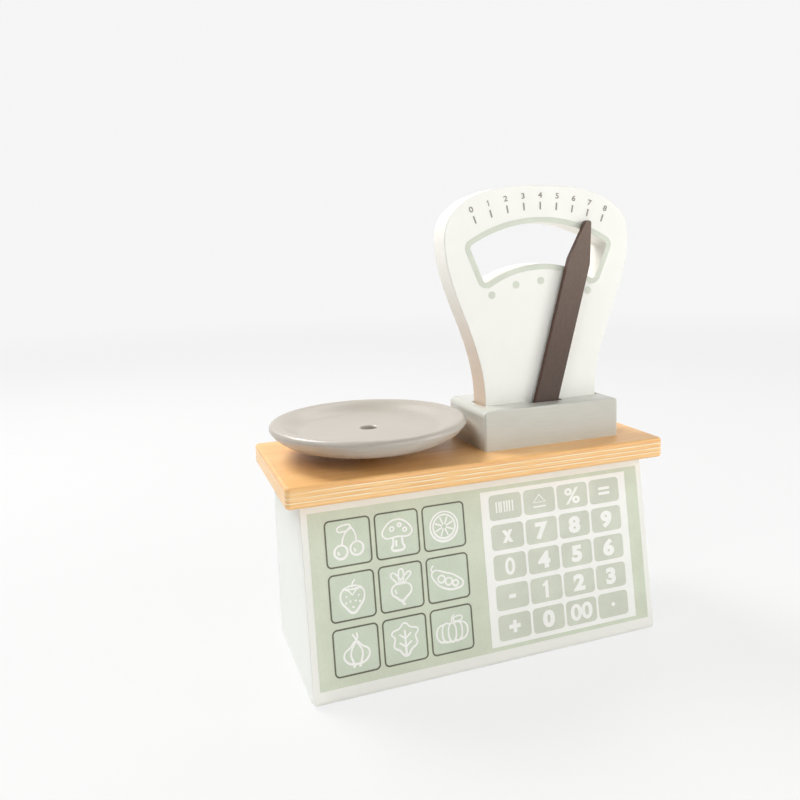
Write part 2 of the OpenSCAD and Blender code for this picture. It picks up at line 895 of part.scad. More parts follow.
module long_arm() {
    color("BurlyWood")
        translate([block_x, 0, rocker_z])
            difference() {
                along_y(-arm_t / 2, arm_t / 2)
                    difference() {
                        union() {
                            circle(r = arm_hub_r);
                            translate([-lever, -arm_h / 2])
                                square([lever, arm_h]);
                            translate([-lever, 0])
                                circle(r = arm_nose_r);
                        }
                        circle(r = shaft_r + fit_gap);
                    }
                translate([0, 0, -arm_pin_len / 2 - fit_gap])
                    cylinder(h = arm_pin_len + 2 * fit_gap, r = arm_pin_r + fit_gap);
            }
}

module upright_arm() {
    color("BurlyWood")
        at_shaft(rocker_lean)
            difference() {
                along_y(pointer_front_y, pointer_back_y)
                    difference() {
                        union() {
                            circle(r = upright_hub_r);
                            translate([-upright_w / 2, 0])
                                square([upright_w, upright_len - notch_drop]);
                            translate([-fork_w / 2, upright_len - 2 * notch_drop])
                                square([fork_w, 2 * notch_drop + prong_rise]);
                        }
                        translate([-nose_r - nose_gap, upright_len - notch_drop])
                            square([2 * (nose_r + nose_gap), notch_drop + prong_rise + over]);
                        circle(r = shaft_r + fit_gap);
                    }
                translate([0, (pointer_front_y + pointer_back_y) / 2, -upright_pin_len / 2 - fit_gap])
                    cylinder(h = upright_pin_len + 2 * fit_gap, r = upright_pin_r + fit_gap);
            }
}

module rocker_shaft() {
    color("Tan")
        difference() {
            translate([block_x, 0, rocker_z])
                bar_y(shaft_r, shaft_front_y, shaft_back_y);
            translate([block_x, 0, rocker_z - shaft_r - over])
                cylinder(h = 2 * (shaft_r + over), r = arm_pin_r + fit_gap);
            at_shaft(rocker_lean)
                translate([0, (pointer_front_y + pointer_back_y) / 2, -shaft_r - over])
                    cylinder(h = 2 * (shaft_r + over), r = upright_pin_r + fit_gap);
        }
}

module shaft_pins() {
    color("Silver") {
        translate([block_x, 0, rocker_z - arm_pin_len / 2])
            cylinder(h = arm_pin_len, r = arm_pin_r);
        at_shaft(rocker_lean)
            translate([0, (pointer_front_y + pointer_back_y) / 2, -upright_pin_len / 2])
                cylinder(h = upright_pin_len, r = upright_pin_r);
    }
}

// A bearing block from y0, bored from hole_y0 to hole_y1
module bearing(y0, hole_y0, hole_y1) {
    color("Wheat")
        difference() {
            translate([block_x - bearing_w / 2, y0, base_t])
                cube([bearing_w, bearing_t, bearing_top - base_t]);
            translate([block_x, 0, rocker_z])
                bar_y(shaft_r + slide_gap, hole_y0, hole_y1);
            at_bearing_screws()
                wood_screw(bearing_screw_len, fit_gap);
        }
}

module front_bearing() {
    bearing(front_bearing_y, shaft_front_y - end_gap, front_bearing_y + bearing_t + over);
}

module rear_bearing() {
    bearing(rear_bearing_y, rear_bearing_y - over, shaft_back_y + end_gap);
}

module bearing_screws() {
    color("Silver")
        at_bearing_screws()
            wood_screw(bearing_screw_len);
}

module spring_peg() {
    color("Tan")
        translate([spring_x, 0, base_t - peg_sink])
            cylinder(h = peg_sink + peg_rise, r = peg_r);
}

module return_spring() {
    count = spring_turns * turn_steps;
    skin = [for (i = [0:count]) each wire_ring(i)];
    walls = [for (i = [0:count - 1], k = [0:wire_sides - 1])
        let (a = i * wire_sides + k, b = i * wire_sides + (k + 1) % wire_sides)
        each [[a, a + wire_sides, b], [b, a + wire_sides, b + wire_sides]]];
    first = [for (k = [1:wire_sides - 2]) [0, k, k + 1]];
    last = [for (k = [1:wire_sides - 2]) [0, k + 1, k] + count * wire_sides * [1, 1, 1]];
    gaps = [for (i = [0:count - turn_steps]) norm(spring_point(i + turn_steps) - spring_point(i)) - 2 * wire_r];
    echo(least_gap_between_turns = min(gaps));
    color("Silver")
        translate([spring_x, 0, 0])
            polyhedron(points = skin, faces = concat(walls, first, last));
}

base_plate();
front_panel();
back_panel();
left_panel();
right_panel();
corner_posts();
base_screws();
board_dowels();
top_board();
front_print();
dial_block();
block_screws();
dial_board();
dial_print();
pointer();
pointer_pin();
pointer_washer();
guide_bush();
lower_guide();
dish();
dish_screw();
dish_washer();
stem();
stop_collar();
collar_pin();
stem_foot();
long_arm();
upright_arm();
rocker_shaft();
shaft_pins();
front_bearing();
rear_bearing();
bearing_screws();
spring_peg();
return_spring();
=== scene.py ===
"""Wooden toy shop scale: finishes, softened edges, printed front, numbers on the dial, and a studio.

Sizes are written in millimetres and turned into metres where a mesh is made.
"""

import logging
import math
from collections.abc import Callable, Iterable, Iterator
from dataclasses import dataclass
from enum import Enum
from functools import reduce
from typing import ClassVar

import bmesh
import bpy
from mathutils import Matrix, Vector


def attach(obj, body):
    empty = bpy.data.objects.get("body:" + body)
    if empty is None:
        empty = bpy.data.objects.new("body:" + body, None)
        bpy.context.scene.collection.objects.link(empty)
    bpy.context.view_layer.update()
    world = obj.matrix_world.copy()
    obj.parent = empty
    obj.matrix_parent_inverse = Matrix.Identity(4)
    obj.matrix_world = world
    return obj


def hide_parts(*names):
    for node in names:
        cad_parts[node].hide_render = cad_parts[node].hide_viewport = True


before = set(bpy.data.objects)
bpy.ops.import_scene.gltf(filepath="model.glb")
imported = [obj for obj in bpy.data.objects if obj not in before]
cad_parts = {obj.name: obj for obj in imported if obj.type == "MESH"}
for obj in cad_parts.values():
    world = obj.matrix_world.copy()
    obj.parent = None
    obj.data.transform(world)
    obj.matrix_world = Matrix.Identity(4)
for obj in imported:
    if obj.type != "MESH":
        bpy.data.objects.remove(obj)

LOG = logging.getLogger("toy_shop_scale")

MM = 0.001
UP = 2
FULL_TONE = 255
SRGB_KNEE, SRGB_SLOPE, SRGB_LIFT, SRGB_POWER = 0.04045, 12.92, 0.055, 2.4
MIX_SHARE, MIX_FIRST, MIX_SECOND, MIX_RESULT = 0, 6, 7, 2
MERGE_REACH = 0.002 * MM
FLAT_ANGLE = math.radians(0.5)
CREASE_ANGLE = math.radians(30)
SMOOTH_ANGLE = math.radians(34)
NEAR = 0.02
HALF = 0.5
FULL_TURN = 2 * math.pi
BLACK = (0.0, 0.0, 0.0, 1.0)
WHITE = (1.0, 1.0, 1.0, 1.0)
SURFACE_NODE = "Principled BSDF"

Pair = tuple[float, float]
Triple = tuple[float, float, float]
Outline = tuple[Pair, ...]
Material = bpy.types.Material
BMesh = bmesh.types.BMesh


class Body(Enum):
    """The bodies that a piece can move with."""

    HOUSING = "housing"
    DISH = "dish_stem"
    ROCKER = "rocker"
    POINTER = "pointer"


class Fibres(Enum):
    """Direction that the fibres of a wooden piece run in."""

    ALONG_X = (1, 0, 0)
    ALONG_Y = (0, 1, 0)
    ALONG_Z = (0, 0, 1)

    def drawn_out(self, ratio: float) -> tuple[float, ...]:
        """Scale of a pattern that is ratio times longer along the fibres."""
        return tuple(1 / ratio if along else 1.0 for along in self.value)


@dataclass(frozen=True)
class Shade:
    """A colour as it looks on the bench, with parts from 0 to 255."""

    red: float
    green: float
    blue: float

    def times(self, factor: float) -> "Shade":
        """The same colour, lighter or darker."""
        return Shade(self.red * factor, self.green * factor, self.blue * factor)

    def linear(self) -> tuple[float, ...]:
        """The colour for a shader socket.

        Returns:
            Red, green, blue and alpha in linear light.
        """
        parts = [min(part / FULL_TONE, 1.0) for part in (self.red, self.green, self.blue)]
        return (*(p / SRGB_SLOPE if p <= SRGB_KNEE else ((p + SRGB_LIFT) / (1 + SRGB_LIFT)) ** SRGB_POWER
                  for p in parts), 1.0)

    def tone(self, sheet: "NodeSheet", place: "Signal") -> tuple[float, ...]:
        """The colour for a socket, the same everywhere."""
        return self.linear()


@dataclass(frozen=True)
class Fade:
    """A colour that changes with the height."""

    foot: Shade
    top: Shade
    foot_z: float
    top_z: float

    def tone(self, sheet: "NodeSheet", place: "Signal") -> "Signal":
        """The colour for a socket.

        Args:
            sheet: Sheet that gets the nodes.
            place: Position on the piece.

        Returns:
            The colour at each height.
        """
        share = sheet.part(place, UP).rising(self.foot_z * MM, self.top_z * MM)
        return sheet.blend(share, self.foot.linear(), self.top.linear())


def reckoner(operation: str, mirrored: bool = False) -> Callable[["Signal", "Signal | float"], "Signal"]:
    """Makes an operator that adds a Math node.

    Args:
        operation: Name of the node's operation.
        mirrored: Whether the other term comes first.

    Returns:
        A method of Signal.
    """
    def method(self: "Signal", other: "Signal | float") -> "Signal":
        """Adds the node."""
        terms = (other, self) if mirrored else (self, other)
        return self.sheet.add("ShaderNodeMath", {"operation": operation}, dict(enumerate(terms)))

    return method


class Signal:
    """A node's output that can be reckoned with; each operator adds a Math node."""

    __add__ = reckoner("ADD")
    __radd__ = reckoner("ADD", mirrored=True)
    __sub__ = reckoner("SUBTRACT")
    __rsub__ = reckoner("SUBTRACT", mirrored=True)
    __mul__ = reckoner("MULTIPLY")
    __rmul__ = reckoner("MULTIPLY", mirrored=True)
    __truediv__ = reckoner("DIVIDE")
    or_more = reckoner("MAXIMUM")

    def __init__(self, sheet: "NodeSheet", socket: bpy.types.NodeSocket) -> None:
        """Wraps one output socket of a sheet."""
        self.sheet = sheet
        self.socket = socket

    def __abs__(self) -> "Signal":
        """Size without its sign."""
        return self.sheet.add("ShaderNodeMath", {"operation": "ABSOLUTE"}, {0: self})

    def zigzag(self) -> "Signal":
        """Falls from 1 at each whole number to 0 half-way to the next."""
        share = self.sheet.add("ShaderNodeMath", {"operation": "FRACT"}, {0: self})
        return abs(share - HALF) * 2

    def with_rest(self, other: "Signal", share: float) -> "Signal":
        """This signal's share, and the rest of the other."""
        return self * share + other * (1 - share)

    def rising(self, low: float, high: float) -> "Signal":
        """Smooth step, 0 up to low and 1 from high."""
        span = {"Value": self, "From Min": low, "From Max": high}
        return self.sheet.add("ShaderNodeMapRange", {"interpolation_type": "SMOOTHSTEP"}, span)


class NodeSheet:
    """The nodes of one material or world."""

    def __init__(self, owner: Material | bpy.types.World) -> None:
        """Starts with the owner's own nodes."""
        owner.use_nodes = True
        self.owner = owner
        self.nodes = owner.node_tree.nodes

    @classmethod
    def for_material(cls, name: str) -> "NodeSheet":
        """Starts a material with only its surface shader."""
        return cls(bpy.data.materials.new(name))

    def add(self, kind: str, settings: dict | None = None, inputs: dict | None = None,
            output: int | str = 0) -> Signal:
        """Adds a node.

        Args:
            kind: The node's type.
            settings: Properties, which are set before the inputs.
            inputs: Values or signals by socket name or number.
            output: The socket that is wanted.

        Returns:
            That output.
        """
        node = self.nodes.new(kind)
        for key, value in (settings or {}).items():
            setattr(node, key, value)
        for key, value in (inputs or {}).items():
            self.feed(node.inputs[key], value)
        return Signal(self, node.outputs[output])

    def feed(self, socket: bpy.types.NodeSocket, value: "Signal | float | tuple") -> None:
        """Links a signal to a socket, or sets the socket's value."""
        if isinstance(value, Signal):
            self.owner.node_tree.links.new(value.socket, socket)
        else:
            socket.default_value = value

    def dress(self, **values: "Signal | float | tuple") -> Material:
        """Feeds the surface shader.

        Args:
            values: Values or signals by socket name, with underscores for spaces.

        Returns:
            The finished material.
        """
        for key, value in values.items():
            self.feed(self.nodes[SURFACE_NODE].inputs[key.replace("_", " ")], value)
        return self.owner

    def place(self) -> Signal:
        """Position on the object, in metres."""
        return self.add("ShaderNodeTexCoord", output="Object")

    def facing(self, axis: int) -> Signal:
        """How squarely the surface faces along an axis, 0 to 1."""
        normal = self.add("ShaderNodeTexCoord", output="Normal")
        return abs(self.add("ShaderNodeSeparateXYZ", inputs={0: normal}, output=axis))

    def part(self, vector: Signal, axis: int) -> Signal:
        """One coordinate of a vector."""
        return self.add("ShaderNodeSeparateXYZ", inputs={0: vector}, output=axis)

    def length(self, vector: Signal) -> Signal:
        """How long a vector is."""
        return self.add("ShaderNodeVectorMath", {"operation": "LENGTH"}, {0: vector}, "Value")

    def scaled(self, vector: Signal, scale: tuple[float, ...]) -> Signal:
        """A vector times a fixed scale for each axis."""
        return self.add("ShaderNodeVectorMath", {"operation": "MULTIPLY"}, {0: vector, 1: scale})

    def turned(self, vector: Signal, about_y: float) -> Signal:
        """A vector turned about Y, so that a pattern follows a leaning piece."""
        return self.add("ShaderNodeMapping", inputs={"Vector": vector, "Rotation": (0.0, about_y, 0.0)})

    def blend(self, share: "Signal | float", first: "Signal | tuple", second: "Signal | tuple") -> Signal:
        """Mixes two colours by the share of the second."""
        colours = {MIX_SHARE: share, MIX_FIRST: first, MIX_SECOND: second}
        return self.add("ShaderNodeMix", {"data_type": "RGBA"}, colours, MIX_RESULT)

    def relief(self, height: Signal, strength: float, depth: float) -> Signal:
        """Surface relief.

        Args:
            height: Height between 0 and 1.
            strength: Share of the relief that shows.
            depth: Its depth in millimetres.

        Returns:
            A normal for the surface shader.
        """
        values = {"Strength": strength, "Distance": depth * MM, "Height": height}
        return self.add("ShaderNodeBump", inputs=values)


@dataclass(frozen=True)
class Noise:
    """A noise pattern, and the span of its value that becomes 0 to 1."""

    scale: float
    detail: float = 2.0
    low: float = 0.3
    high: float = 0.7
    swirl: float = 0.0

    def raw(self, sheet: NodeSheet, vector: Signal) -> Signal:
        """Its value around one half."""
        values = {"Vector": vector, "Scale": self.scale, "Detail": self.detail, "Distortion": self.swirl}
        return sheet.add("ShaderNodeTexNoise", inputs=values)

    def on(self, sheet: NodeSheet, vector: Signal) -> Signal:
        """Its value from 0 to 1."""
        return self.raw(sheet, vector).rising(self.low, self.high)


@dataclass(frozen=True)
class Figure:
    """Growth rings, fibres and pores of a piece of wood."""

    fibres: Fibres
    rings: Noise = Noise(22.0, 1.0, swirl=0.35)
    ring_count: float = 9.0
    ring_draw: float = 7.0
    threads: Noise = Noise(1500.0, 3.0, 0.25, 0.75)
    thread_draw: float = 45.0
    pores: Noise = Noise(2400.0, 1.0, 0.63, 0.72)
    pore_draw: float = 14.0

    def signals(self, sheet: NodeSheet, place: Signal) -> tuple[Signal, Signal, Signal]:
        """The three patterns.

        Args:
            sheet: Sheet that gets the nodes.
            place: Position on the piece.

        Returns:
            Rings, fibres and pores, each from 0 to 1.
        """
        ringed, threaded, pored = (sheet.scaled(place, self.fibres.drawn_out(draw))
                                   for draw in (self.ring_draw, self.thread_draw, self.pore_draw))
        rings = (self.rings.raw(sheet, ringed) * self.ring_count).zigzag()
        return rings, self.threads.on(sheet, threaded), self.pores.on(sheet, pored)


@dataclass(frozen=True)
class BareWood:
    """Planed or turned wood without paint."""

    name: str
    light: Shade
    dark: Shade
    figure: Figure
    ring_share: float = 0.35
    pore_share: float = 0.35
    pore_tone: float = 0.72
    fibre_height: float = 0.6
    gloss_low: float = 0.5
    gloss_span: float = 0.18
    relief_share: float = 0.35
    relief_depth: float = 0.08

    def tones(self, sheet: NodeSheet, place: Signal) -> tuple[Signal, Signal]:
        """Colour and height of the wood.

        Args:
            sheet: Sheet that gets the nodes.
            place: Position on the piece.

        Returns:
            The colour, and the height from 0 to 1.
        """
        rings, fine, pits = self.figure.signals(sheet, place)
        tone = sheet.blend(rings.with_rest(fine, self.ring_share), self.light.linear(), self.dark.linear())
        pitted = sheet.blend(pits * self.pore_share, tone, self.dark.times(self.pore_tone).linear())
        return pitted, fine.with_rest(1 - pits, self.fibre_height)

    def material(self) -> Material:
        """The finished material."""
        sheet = NodeSheet.for_material(self.name)
        tone, height = self.tones(sheet, sheet.place())
        return sheet.dress(Base_Color=tone, Roughness=height * self.gloss_span + self.gloss_low,
                           Normal=sheet.relief(height, self.relief_share, self.relief_depth))


@dataclass(frozen=True)
class Plywood:
    """Lacquered plywood: a quiet veneer on its faces, and the plies on its edges."""

    name: str
    veneer: BareWood
    edge: Shade
    streak: Shade
    glue: Shade
    foot: float
    thickness: float
    wander: Noise = Noise(70.0)
    wander_stretch: tuple[float, ...] = (1.0, 1.0, 0.2)
    wander_share: float = 0.05
    glue_lines: tuple[float, ...] = (0.29, 0.5, 0.73)
    glue_width: float = 0.028
    glue_core: float = 0.25
    seam: Shade = Shade(226, 152, 84)
    seam_rise: float = 0.055
    seam_share: float = 0.55
    cap: Shade = Shade(240, 178, 108)
    cap_foot: float = 0.78
    streaks: Noise = Noise(1500.0, 2.0, 0.32, 0.68)
    streak_stretch: tuple[float, ...] = (1 / 30, 1 / 30, 1.0)
    patches: Noise = Noise(60.0, 2.0, 0.2, 0.6)
    flat_span: Pair = (0.35, 0.65)
    lacquer: float = 0.35
    lacquer_roughness: float = 0.28
    gloss_low: float = 0.4
    gloss_span: float = 0.14
    relief_share: float = 0.22
    relief_depth: float = 0.06

    def edge_tone(self, sheet: NodeSheet, place: Signal) -> Signal:
        """Colour of the cut edges.

        Args:
            sheet: Sheet that gets the nodes.
            place: Position on the board.

        Returns:
            The colour with its plies and glue lines.
        """
        height = (sheet.part(place, UP) - self.foot * MM) / (self.thickness * MM)
        wander = self.wander.raw(sheet, sheet.scaled(place, self.wander_stretch)) - HALF
        level = height + wander * self.wander_share
        lines, seams = self._lines(level), self._lines(level - self.seam_rise)
        streaks = self.streaks.on(sheet, sheet.scaled(place, self.streak_stretch))
        lower = sheet.blend(streaks, self.edge.linear(), self.streak.linear())
        upper = sheet.blend(streaks, self.cap.linear(), self.edge.linear())
        plies = sheet.blend(level.rising(self.cap_foot, self.cap_foot + self.seam_rise), lower, upper)
        patches = self.patches.on(sheet, place)
        seamed = sheet.blend(seams * patches * self.seam_share, plies, self.seam.linear())
        return sheet.blend(lines * patches, seamed, self.glue.linear())

    def _lines(self, level: Signal) -> Signal:
        """How near a level is to the next glue line, 0 to 1."""
        near = [1 - (abs(level - line) / self.glue_width).rising(self.glue_core, 1.0)
                for line in self.glue_lines]
        return reduce(Signal.or_more, near)

    def material(self) -> Material:
        """The finished material."""
        sheet = NodeSheet.for_material(self.name)
        place = sheet.place()
        tone, height = self.veneer.tones(sheet, place)
        colour = sheet.blend(sheet.facing(UP).rising(*self.flat_span), self.edge_tone(sheet, place), tone)
        return sheet.dress(Base_Color=colour, Roughness=height * self.gloss_span + self.gloss_low,
                           Normal=sheet.relief(height, self.relief_share, self.relief_depth),
                           Coat_Weight=self.lacquer, Coat_Roughness=self.lacquer_roughness)


@dataclass(frozen=True)
class Paint:
    """Sprayed paint on wood, with a faint skin and clouds in its tone, and, where a side tone is given,
    painted shade on the faces that do not look along side_axis.
    """

    name: str
    shade: Shade | Fade
    # Tone of the faces that do not look along side_axis: painted shade, and on the pointer partly its darker
    # cut edges as well.
    side_tone_with_painted_shade: Shade | Fade | None = None
    side_axis: int = 1
    side_span: Pair = (0.3, 0.9)
    cloud: float = 0.012
    clouds: Noise = Noise(38.0, 2.0, 0.1, 0.9)
    grain: float = 0.01
    threads: Noise = Noise(700.0, 3.0, 0.25, 0.75)
    grain_stretch: tuple[float, ...] = (1.0, 1.0, 0.12)
    lean: float = 0.0
    roughness: float = 0.42
    gloss_span: float = 0.08
    lacquer: float = 0.2
    lacquer_roughness: float = 0.3
    skin: Noise = Noise(1100.0)
    skin_height: float = 0.6
    skin_share: float = 0.18
    skin_depth: float = 0.05

    def material(self) -> Material:
        """The finished material."""
        sheet = NodeSheet.for_material(self.name)
        place = sheet.place()
        clouds = self.clouds.on(sheet, place)
        along = sheet.scaled(sheet.turned(place, self.lean) if self.lean else place, self.grain_stretch)
        threads = self.threads.on(sheet, along)
        tone = self.shade.tone(sheet, place)
        # Faces that do not look along side_axis take the side tone: painted shade on the housing's sides,
        # painted shade and a painted warm bounce from the board low on the dial's sides, and on the pointer
        # partly its darker cut edges and partly painted shade.
        if self.side_tone_with_painted_shade is not None:
            front = sheet.facing(self.side_axis).rising(*self.side_span)
            tone = sheet.blend(front, self.side_tone_with_painted_shade.tone(sheet, place), tone)
        deeper = sheet.blend(clouds * self.cloud, tone, BLACK)
        colour = sheet.blend(threads * self.grain, deeper, BLACK)
        height = self.skin.raw(sheet, place).with_rest(threads, self.skin_height)
        return sheet.dress(Base_Color=colour, Roughness=clouds * self.gloss_span + self.roughness,
                           Normal=sheet.relief(height, self.skin_share, self.skin_depth),
                           Coat_Weight=self.lacquer, Coat_Roughness=self.lacquer_roughness)


@dataclass(frozen=True)
class Ink:
    """Screen-printed ink with an uneven cover."""

    name: str
    shade: Shade
    uneven: float = 0.03
    specks: Noise = Noise(1600.0)
    speck_share: float = 0.5
    clouds: Noise = Noise(60.0)
    roughness: float = 0.5
    gloss_span: float = 0.08
    relief_share: float = 0.15
    relief_depth: float = 0.02

    def material(self) -> Material:
        """The finished material."""
        sheet = NodeSheet.for_material(self.name)
        place = sheet.place()
        specks = self.specks.on(sheet, place)
        cover = specks.with_rest(self.clouds.on(sheet, place), self.speck_share)
        light, dark = self.shade.times(1 + self.uneven), self.shade.times(1 - self.uneven)
        return sheet.dress(Base_Color=sheet.blend(cover, dark.linear(), light.linear()),
                           Roughness=specks * self.gloss_span + self.roughness,
                           Normal=sheet.relief(specks, self.relief_share, self.relief_depth))


@dataclass(frozen=True)
class Fibreboard:
    """Bare fibreboard with pale and dark fibres."""

    name: str
    light: Shade
    dark: Shade
    fibres: Noise = Noise(2600.0, 2.0, 0.35, 0.65)
    fibre_share: float = 0.6
    clumps: Noise = Noise(320.0, 3.0)
    roughness: float = 0.78
    gloss_span: float = 0.1
    relief_share: float = 0.3
    relief_depth: float = 0.06

    def material(self) -> Material:
        """The finished material."""
        sheet = NodeSheet.for_material(self.name)
        place = sheet.place()
        fibre = self.fibres.on(sheet, place)
        share = fibre.with_rest(self.clumps.on(sheet, place), self.fibre_share)
        return sheet.dress(Base_Color=sheet.blend(share, self.light.linear(), self.dark.linear()),
                           Roughness=fibre * self.gloss_span + self.roughness,
                           Normal=sheet.relief(fibre, self.relief_share, self.relief_depth))


@dataclass(frozen=True)
class Plated:
    """Plated or drawn steel."""

    name: str
    shade: Shade
    roughness: float = 0.3
    gloss_span: float = 0.16
    haze: Noise = Noise(420.0)
    haze_tone: float = 0.93
    scratches: Noise = Noise(2200.0, 3.0)
    scratch_stretch: tuple[float, ...] = (1.0, 1.0, 0.15)
    relief_share: float = 0.15
    relief_depth: float = 0.02

    def material(self) -> Material:
        """The finished material."""
        sheet = NodeSheet.for_material(self.name)
        place = sheet.place()
        lines = self.scratches.raw(sheet, sheet.scaled(place, self.scratch_stretch))
        haze = self.haze.on(sheet, place)
        colour = sheet.blend(haze, self.shade.times(self.haze_tone).linear(), self.shade.linear())
        return sheet.dress(Base_Color=colour, Metallic=1.0,
                           Roughness=haze * self.gloss_span + self.roughness,
                           Normal=sheet.relief(lines, self.relief_share, self.relief_depth))


class Finishes:
    """Every finish on the toy, made once."""

    def __init__(self) -> None:
        """Mixes the finishes."""
        veneer = BareWood("veneer", Shade(254, 205, 138), Shade(240, 178, 106), Figure(Fibres.ALONG_X))
        board = Plywood("honey_plywood", veneer, edge=Shade(250, 197, 128), streak=Shade(255, 212, 150),
                        glue=Shade(255, 246, 222), foot=111.0, thickness=12.5)
        pine = BareWood("bare_pine", Shade(226, 190, 140), Shade(201, 158, 104), Figure(Fibres.ALONG_Z))
        beech, beech_dark = Shade(222, 184, 142), Shade(198, 155, 112)
        arm = BareWood("bare_beech", beech, beech_dark, Figure(Fibres.ALONG_X))
        upright = BareWood("beech_upright", beech, beech_dark, Figure(Fibres.ALONG_Z))
        smooth, smooth_dark = Shade(226, 190, 150), Shade(204, 163, 120)
        turned = BareWood("turned_beech", smooth, smooth_dark, Figure(Fibres.ALONG_Z))
        shaft = BareWood("turned_shaft", smooth, smooth_dark, Figure(Fibres.ALONG_Y))
        self.board = board.material()
        self.pine = pine.material()
        self.beech = arm.material()
        self.upright = upright.material()
        self.turned = turned.material()
        self.shaft = shaft.material()
        # The housing's side faces get a slightly darker, cooler copy of the cream: painted shade.
        self.housing = Paint("cream_paint", Shade(246, 246, 239), side_tone_with_painted_shade=Shade(242, 244, 239)).material()
        self.block = Paint("warm_grey_paint", Shade(207, 207, 197), roughness=0.3, lacquer=0.7,
                           lacquer_roughness=0.08, cloud=0.02, grain=0.05,
                           grain_stretch=(0.12, 1.0, 1.0)).material()
        # The dial's sides run from nearly the front's white at the top to a darker beige at the foot:
        # painted shade and a painted warm bounce from the board.
        dial_sides_painted_shade = Fade(Shade(224, 202, 180), Shade(248, 246, 238), foot_z=158.0, top_z=236.0)
        self.dial = Paint("dial_white_paint", Shade(250, 250, 243), side_tone_with_painted_shade=dial_sides_painted_shade).material()
        self.dish = Paint("dish_grey_paint", Shade(187, 179, 168), roughness=0.38, lacquer=0.3,
                          lacquer_roughness=0.24, cloud=0.03, grain=0.04,
                          grain_stretch=(0.15, 1.0, 1.0)).material()
        # The pointer's stain darkens towards its foot, which is painted shade; its sides take a darker
        # red-brown, partly its cut edges and partly painted shade.
        stain_with_painted_shade = Fade(Shade(79, 58, 46), Shade(113, 92, 77), foot_z=150.0, top_z=262.0)
        self.pointer = Paint("dark_brown_stain", stain_with_painted_shade, side_tone_with_painted_shade=Shade(92, 62, 50), roughness=0.5,
                             cloud=0.12, clouds=Noise(500.0, 2.0, 0.1, 0.9), grain=0.16,
                             threads=Noise(900.0, 3.0, 0.25, 0.75), lean=math.radians(-15.45),
                             lacquer=0.08, skin_share=0.3, skin_depth=0.08).material()
        self.sage = Ink("sage_ink", Shade(214, 221, 200)).material()
        self.tile_sage = Ink("tile_sage_ink", Shade(209, 219, 199)).material()
        self.key_sage = Ink("key_sage_ink", Shade(212, 216, 200)).material()
        self.soft_sage = Ink("soft_sage_ink", Shade(218, 223, 208)).material()
        self.white = Ink("white_ink", Shade(251, 251, 246), uneven=0.012).material()
        self.line = Ink("olive_brown_ink", Shade(103, 104, 83), uneven=0.1).material()
        self.figures = Ink("figure_ink", Shade(156, 148, 137), uneven=0.08).material()
        self.fibreboard = Fibreboard("fibreboard", Shade(196, 160, 118), Shade(164, 124, 84)).material()
        self.steel = Plated("zinc_plate", Shade(206, 206, 204)).material()
        self.washer = Plated("bright_washer", Shade(216, 216, 214), roughness=0.22).material()
        self.spring = Plated("spring_wire", Shade(178, 178, 180), roughness=0.34).material()


@dataclass(frozen=True)
class Tag:
    """Name of a finished piece, where it belongs, and the part that it stands for."""

    name: str
    body: Body
    slot: str
    node: str


def smooth_mesh(shape: BMesh, name: str, *materials: Material) -> bpy.types.Mesh:
    """Turns a shape, which is used up, into a smooth mesh with its materials."""
    mesh = bpy.data.meshes.new(name)
    shape.to_mesh(mesh)
    shape.free()
    for polygon in mesh.polygons:
        polygon.use_smooth = True
    for material in materials:
        mesh.materials.append(material)
    return mesh


def put(name: str, data: bpy.types.ID) -> bpy.types.Object:
    """Puts a new object in the scene."""
    thing = bpy.data.objects.new(name, data)
    bpy.context.scene.collection.objects.link(thing)
    return thing


def add_piece(shape: BMesh, tag: Tag, *materials: Material) -> bpy.types.Object:
    """Makes a finished piece of a mesh.

    Args:
        shape: The mesh in metres, in place; it is used up.
        tag: What it is and where it belongs.
        materials: Its materials, in the order of the faces' material numbers.

    Returns:
        The new object.
    """
    mesh = smooth_mesh(shape, tag.name, *materials)
    mesh.set_sharp_from_angle(angle=SMOOTH_ANGLE)
    piece = put(tag.name, mesh)
    piece.modifiers.new("even_normals", "WEIGHTED_NORMAL").keep_sharp = True
    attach(piece, tag.body.value)
    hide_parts(tag.node)
    LOG.info("%s: %d faces, on %s", tag.name, len(mesh.polygons), tag.body.value)
    return piece


def merged_copy(node: str) -> BMesh:
    """A copy of a part's mesh with its triangles joined.

    Args:
        node: Name of the part.

    Returns:
        The copy, in metres.
    """
    shape = bmesh.new()
    shape.from_mesh(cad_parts[node].data)
    bmesh.ops.remove_doubles(shape, verts=shape.verts, dist=MERGE_REACH)
    bmesh.ops.dissolve_limit(shape, angle_limit=FLAT_ANGLE, verts=shape.verts, edges=shape.edges)
    return shape


def ease(shape: BMesh, radius: float, segments: int = 2,
         chosen: Callable[[Vector], bool] = lambda point: True) -> None:
    """Rounds the sharp edges whose two ends are chosen.

    Args:
        shape: The mesh in metres.
        radius: Radius in millimetres.
        segments: Faces across the rounding.
        chosen: Says of a point in millimetres if edges between such points are rounded.
    """
    edges = [edge for edge in shape.edges
             if len(edge.link_faces) == 2 and edge.calc_face_angle(0) > CREASE_ANGLE
             and all(chosen(vert.co / MM) for vert in edge.verts)]
    bmesh.ops.bevel(shape, geom=edges, offset=radius * MM, offset_type="OFFSET", segments=segments,
                    profile=0.5, affect="EDGES", clamp_overlap=True, material=-1)


def eased_piece(tag: Tag, radius: float, material: Material) -> None:
    """Makes a piece of the part that it stands for, with its sharp edges rounded."""
    shape = merged_copy(tag.node)
    ease(shape, radius)
    add_piece(shape, tag, material)


